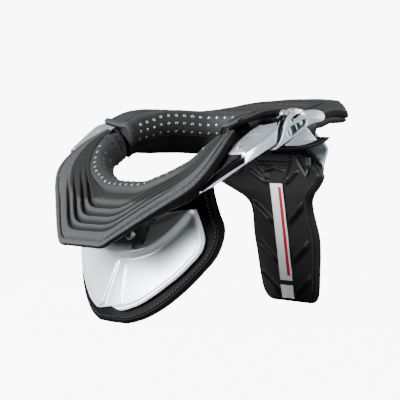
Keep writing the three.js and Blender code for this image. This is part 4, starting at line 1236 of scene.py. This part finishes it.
WELL = LEVER * 0.9 + LEVER.mean(0) * 0.1
WELL_MIDDLE_X = LEVER_MIDDLE_X - 1.9
WELL_HALF = 0.9


def rounded_plate(name, outlines, half, edge):
    """A plate with rounded edges and smooth outlines, the first its border and the others holes."""
    curve = bpy.data.curves.new(name, "CURVE")
    curve.dimensions = "2D"
    curve.fill_mode = "BOTH"
    curve.extrude = half - edge
    curve.bevel_depth = edge
    curve.bevel_resolution = 2
    curve.offset = -edge
    for outline in outlines:
        closed = np.concatenate([outline[-1:], outline, outline[:2]])
        line = []
        for i in range(1, len(closed) - 2):
            line += [along(closed, (i + step / 4) / (len(closed) - 1)) for step in range(4)]
        spline = curve.splines.new("POLY")
        spline.points.add(len(line) - 1)
        spline.use_cyclic_u = True
        for point, (y, z) in zip(spline.points, line):
            point.co = (y, z, 0, 1)
    flat = bpy.data.objects.new(name, curve)
    bpy.context.scene.collection.objects.link(flat)
    bpy.context.view_layer.update()
    mesh = bpy.data.meshes.new_from_object(flat.evaluated_get(bpy.context.evaluated_depsgraph_get()))
    bpy.data.objects.remove(flat)
    points = np.array([v.co for v in mesh.vertices])
    faces = [tuple(face.vertices) for face in mesh.polygons]
    return points, faces


def lever_plate(name, outlines, middle_x, half, edge, flip, material):
    """A rounded plate stood upright beside a latch, on the wearer's left or right."""
    points, faces = rounded_plate(name, outlines, half, edge)
    placed = np.column_stack([flip * (middle_x + points[:, 2]), points[:, 0], points[:, 1]])
    piece = to_object(name, placed, faces, material)
    work = bmesh.new()
    work.from_mesh(piece.data)
    bmesh.ops.remove_doubles(work, verts=work.verts, dist=1e-7)
    bmesh.ops.recalc_face_normals(work, faces=work.faces)
    work.to_mesh(piece.data)
    work.free()
    piece.data.set_sharp_from_angle(angle=math.radians(35))
    return piece


def relieve(piece, flip):
    """Cut back the inner side of a lever piece ahead of its hinge line."""
    for vertex in piece.data.vertices:
        y, z = vertex.co.y * 1000 + CENTRE_Y - LEVER_HINGE[0], vertex.co.z * 1000 - LEVER_HINGE[1]
        ahead = max(0, 0.4 - (y * LEVER_ALONG[0] + z * LEVER_ALONG[1]))
        inner = LEVER_MIDDLE_X - LEVER_HALF + RELIEF * ahead
        vertex.co.x = flip * max(flip * vertex.co.x, inner / 1000)


# middle y, z, half width and half length of the bars across the window (mm)
LEVER_BARS = ((145.4, 182.8, 1.5, 5), (153.6, 187.2, 0.6, 5.5), (160, 190, 1.7, 2.4))
BAR_UP = np.array((-0.42, 0.9))
BAR_ACROSS = np.array((0.9, 0.42))
BAR_HALF = 1.4
# outline of the dish below the lever in side view: y, z (mm)
DISH = np.array([
    (144, 168.6), (152, 173.5), (165.6, 181.5), (171.5, 184), (176, 182), (186, 174.5), (184, 172),
    (167, 168.3), (150, 167.8),
])
DISH_MIDDLE_X = 120.9
DISH_HALF = 0.8
# the line above which a housing is black, from y, z to y, z (mm)
HOUSING_EDGE = (174, 185, 195, 174)
CAP_FORWARD = 0.003
CAP_FOOT = 0.1974
CAP_RISE = 0.45
PIN_PLACE = (112, 152, 196.4)
PIN_RADIUS = 4.6
PIN_HEIGHT = 5.4
dark_well, tree, shader = new_material("dark_well", (0.0015, 0.0015, 0.0016), 0.7)
grain(tree, shader, 900, 0.1, 0.0002)


def pan_head(name, place, radius, height, flip):
    """A domed screw head with a crossed recess, standing upright."""
    profile = [(0, 1), (0.35, 0.98), (0.62, 0.86), (0.85, 0.62), (0.98, 0.3), (1, 0)]
    rings = []
    for across, tall in profile[::-1]:
        ring = []
        for turn in np.linspace(0, 2 * math.pi, 48, endpoint=False):
            cross = min(abs(math.cos(turn)), abs(math.sin(turn)))
            sunk = 0.3 * (across < 0.65) * (1 - smoothstep(0.12, 0.3, cross))
            r = max(across, 0.02) * radius
            ring.append((r * math.cos(turn), r * math.sin(turn), height * (tall - sunk)))
        rings.append(ring)
    return skin(name, (np.array(rings) + place) * (flip, 1, 1), screw_metal)


for side, flip in (("left", 1), ("right", -1)):
    mesh = merged_copy("housing_" + side, cuts=(HOUSING_EDGE,))
    housing = finish("housing_" + side, mesh, latch_silver, 0.0012, "silver_shell")
    housing.data.materials.append(black_plastic)
    for face in housing.data.polygons:
        face.material_index = int(above_line(face, HOUSING_EDGE))
    cap = dress("housing_cap_" + side, bright, 0.0008, "bright_cap")
    for vertex in cap.data.vertices:
        vertex.co.y -= CAP_FORWARD
        vertex.co.z += (vertex.co.z - CAP_FOOT) * CAP_RISE
    dress("latch_boss_" + side, gloss_black, 0.001, "black_plastic")
    pin = pan_head("pin_head_" + side, PIN_PLACE, PIN_RADIUS, PIN_HEIGHT, flip)
    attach(pin, "rear_half")
    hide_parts("pin_screw_" + side)
    hook = skin("latch_hook_" + side, hook_rings() * (flip, 1, 1), gloss_black)
    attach(hook, "rear_half")
    outlines = (LEVER, LEVER_WINDOW)
    plate = lever_plate(
        "latch_lever_" + side, outlines, LEVER_MIDDLE_X, LEVER_HALF, LEVER_ROUND, flip, latch_silver
    )
    relieve(plate, flip)
    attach(plate, "lever_" + side)
    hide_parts("lever_" + side)
    well = lever_plate("lever_well_" + side, (WELL,), WELL_MIDDLE_X, WELL_HALF, 0.2, flip, dark_well)
    relieve(well, flip)
    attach(well, "lever_" + side)
    # The dish takes the darker copy of the silver: painted shade under the lever.
    dish = lever_plate("housing_dish_" + side, (DISH,), DISH_MIDDLE_X, DISH_HALF, 0.4, flip, dish_silver_painted_shade)
    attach(dish, "rear_half")
    for number, (y, z, half, reach) in enumerate(LEVER_BARS):
        slant, across = BAR_UP * reach, BAR_ACROSS * half
        foot, head = np.array((y, z)) - slant, np.array((y, z)) + slant
        corners = np.array([foot - across, foot + across, head + across, head - across])
        name = f"lever_bar_{side}_{number}"
        bar = lever_plate(name, (corners,), LEVER_MIDDLE_X, BAR_HALF, 0.4, flip, latch_silver)
        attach(bar, "lever_" + side)

# Shoulder pads: thin crescents of black foam under the housings.
# Each is moulded with a rounded edge and a tip that turns up behind the shoulder.
CRESCENT_THICK = 5
# outer x, y; inner x, y; underside z (mm)
CRESCENT = np.array([
    (92, 121, 89, 128, 163), (103, 128, 95, 137, 163), (111, 139, 99, 147, 163), (116, 155, 101, 160, 163),
    (116, 175, 99, 177, 163.5), (111, 196, 93, 194, 165.5), (105, 214, 87, 207, 168.5),
    (98, 231, 86, 221, 172.5),
])


def crescent_rings():
    """Rings along the left crescent, with rounded edges and a thin end."""
    rings = []
    for share in np.linspace(0, 1, 60):
        x0, y0, x1, y1, z = along(CRESCENT, share)
        half = CRESCENT_THICK / 2 * (1 - 0.7 * smoothstep(0.9, 1, share))
        outer, inner = np.array((x0, y0)), np.array((x1, y1))
        middle, reach = (outer + inner) / 2, (outer - inner) / 2
        ring = []
        for turn in np.linspace(0, 2 * math.pi, 24, endpoint=False):
            across = math.copysign(abs(math.cos(turn)) ** 0.6, math.cos(turn))
            rise = math.copysign(abs(math.sin(turn)) ** 0.6, math.sin(turn))
            ring.append((*(middle + reach * across), z + CRESCENT_THICK / 2 + half * rise))
        rings.append(ring)
    return np.array(rings)


for side, flip in (("left", 1), ("right", -1)):
    crescent = skin("shoulder_crescent_" + side, crescent_rings() * (flip, 1, 1), black_pad)
    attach(crescent, "rear_half")
    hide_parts("shoulder_pad_" + side)

# Straps: grey moulded straps over the split of the collar, with studs, and on the wings of the back pad.
# Each collar strap lies across the end of the rear deck and turns down over the end of the rear collar.
grey_strap, tree, shader = new_material("grey_strap", (0.03, 0.031, 0.0325), 0.6)
shader.inputs["Specular IOR Level"].default_value = 0.25
grain(tree, shader, 1200, 0.3, 0.0003, (0.055, 0.057, 0.06))
wing_grey, tree, shader = new_material("wing_strap_grey", (0.036, 0.0372, 0.039), 0.6)
shader.inputs["Specular IOR Level"].default_value = 0.25
grain(tree, shader, 1200, 0.3, 0.0003, (0.062, 0.064, 0.067))
STRAP_SHARE = 0.972
STRAP_HALF = 3.2
STRAP_THICK = 1.2
STRAP_OFF_DECK = 1.2
STRAP_DOWN_ROWS = (2, 4.5)
STRAP_ACROSS = 8
STRAP_SIDES = 6


def strap_path(flip):
    """The middle of a collar strap and the way it faces, from the edge of the deck down the collar."""
    outer, inner, across, width, out, inward, crown, thick = deck_station(REAR_DECK, STRAP_SHARE)
    steps = np.linspace(0.5, width - 1, STRAP_ACROSS)
    path = [(outer + d * across + STRAP_OFF_DECK * out, out) for d in steps]
    for row in np.arange(STRAP_DOWN_ROWS[0], STRAP_DOWN_ROWS[1], 0.5):
        place, facing = spot(rear_roll_section, STRAP_SHARE, row)
        path.append((place + 0.5 * facing, facing))
    return [(place * (flip, 1, 1), facing * (flip, 1, 1)) for place, facing in path]


def strap_rings(path):
    """Rings along a strap, flat below and bevelled above."""
    places = np.array([place for place, facing in path])
    rings = []
    for i, (place, facing) in enumerate(path):
        ahead = places[min(i + 1, len(path) - 1)] - places[max(i - 1, 0)]
        side = unit(np.cross(ahead, facing))
        corners = ((-1, -1), (1, -1), (1.0, 0.4), (0.8, 1), (-0.8, 1), (-1.0, 0.4))
        rings.append([place + side * STRAP_HALF * u + facing * STRAP_THICK * 0.5 * v for u, v in corners])
    return rings


STRAP_STUD = {"Radius": 0.0008, "Depth": 0.0004}
for side, flip in (("left", 1), ("right", -1)):
    path = strap_path(flip)
    strap = skin("split_strap_" + side, strap_rings(path), grey_strap)
    # The part of the strap that turns down over the collar takes the darker collar cloth, as painted shade.
    strap.data.materials.append(roll_cloth)
    for face in strap.data.polygons:
        face.material_index = int(min(face.vertices) >= STRAP_ACROSS * STRAP_SIDES)
    strap.data.set_sharp_from_angle(angle=math.radians(40))
    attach(strap, "rear_half")
    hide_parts("collar_strap_" + side)
    studs = [(place + facing * STRAP_THICK * 0.5, facing) for place, facing in path[:STRAP_ACROSS]]
    stud_piece = grown("strap_studs_" + side, eyelets, facing_seeds("studs", studs), STRAP_STUD, grey_strap)
    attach(stud_piece, "rear_half")
    dress("wing_strap_" + side, wing_grey, 0.0003, "grey_strap")
    dress("wing_tab_" + side, wing_grey, 0.0005, "grey_strap")

# Labels: two plain light cloth strips sewn on the back pad.
# The long one has a woven red line beside its middle.
label_cloth, tree, shader = new_material("label_cloth", (0.9, 0.92, 0.93), 0.8)
grain(tree, shader, 1300, 0.2, 0.0002, (0.96, 0.98, 0.99))
striped_label, tree, shader = new_material("striped_label", (0.76, 0.79, 0.8), 0.8)
grain(tree, shader, 1300, 0.2, 0.0002, (0.84, 0.87, 0.88))
RED_LINE = (0.0023, 0.0069)
RED_LINE_ENDS = (0.0285, 0.1225)


def inside(tree, value, low, high):
    """One where a value lies between two limits."""
    step = tree.nodes.new("ShaderNodeMath")
    step.operation = "COMPARE"
    step.inputs[1].default_value = (low + high) / 2
    step.inputs[2].default_value = (high - low) / 2
    tree.links.new(value, step.inputs[0])
    return step.outputs["Value"]


where = tree.nodes.new("ShaderNodeTexCoord")
split = tree.nodes.new("ShaderNodeSeparateXYZ")
tree.links.new(where.outputs["Object"], split.inputs["Vector"])
both = tree.nodes.new("ShaderNodeMath")
both.operation = "MULTIPLY"
tree.links.new(inside(tree, split.outputs["X"], *RED_LINE), both.inputs[0])
tree.links.new(inside(tree, split.outputs["Z"], *RED_LINE_ENDS), both.inputs[1])
stripe = tree.nodes.new("ShaderNodeMix")
stripe.data_type = "RGBA"
cloth_color = shader.inputs["Base Color"].links[0].from_socket
tree.links.new(both.outputs["Value"], stripe.inputs["Factor"])
tree.links.new(cloth_color, stripe.inputs[6])
stripe.inputs[7].default_value = (0.4, 0.004, 0.016, 1)
tree.links.new(stripe.outputs[2], shader.inputs["Base Color"])
dress("label_strip", striped_label, 0.0002, "label_cloth")
dress("label_tag", label_cloth, 0.0002, "label_cloth")
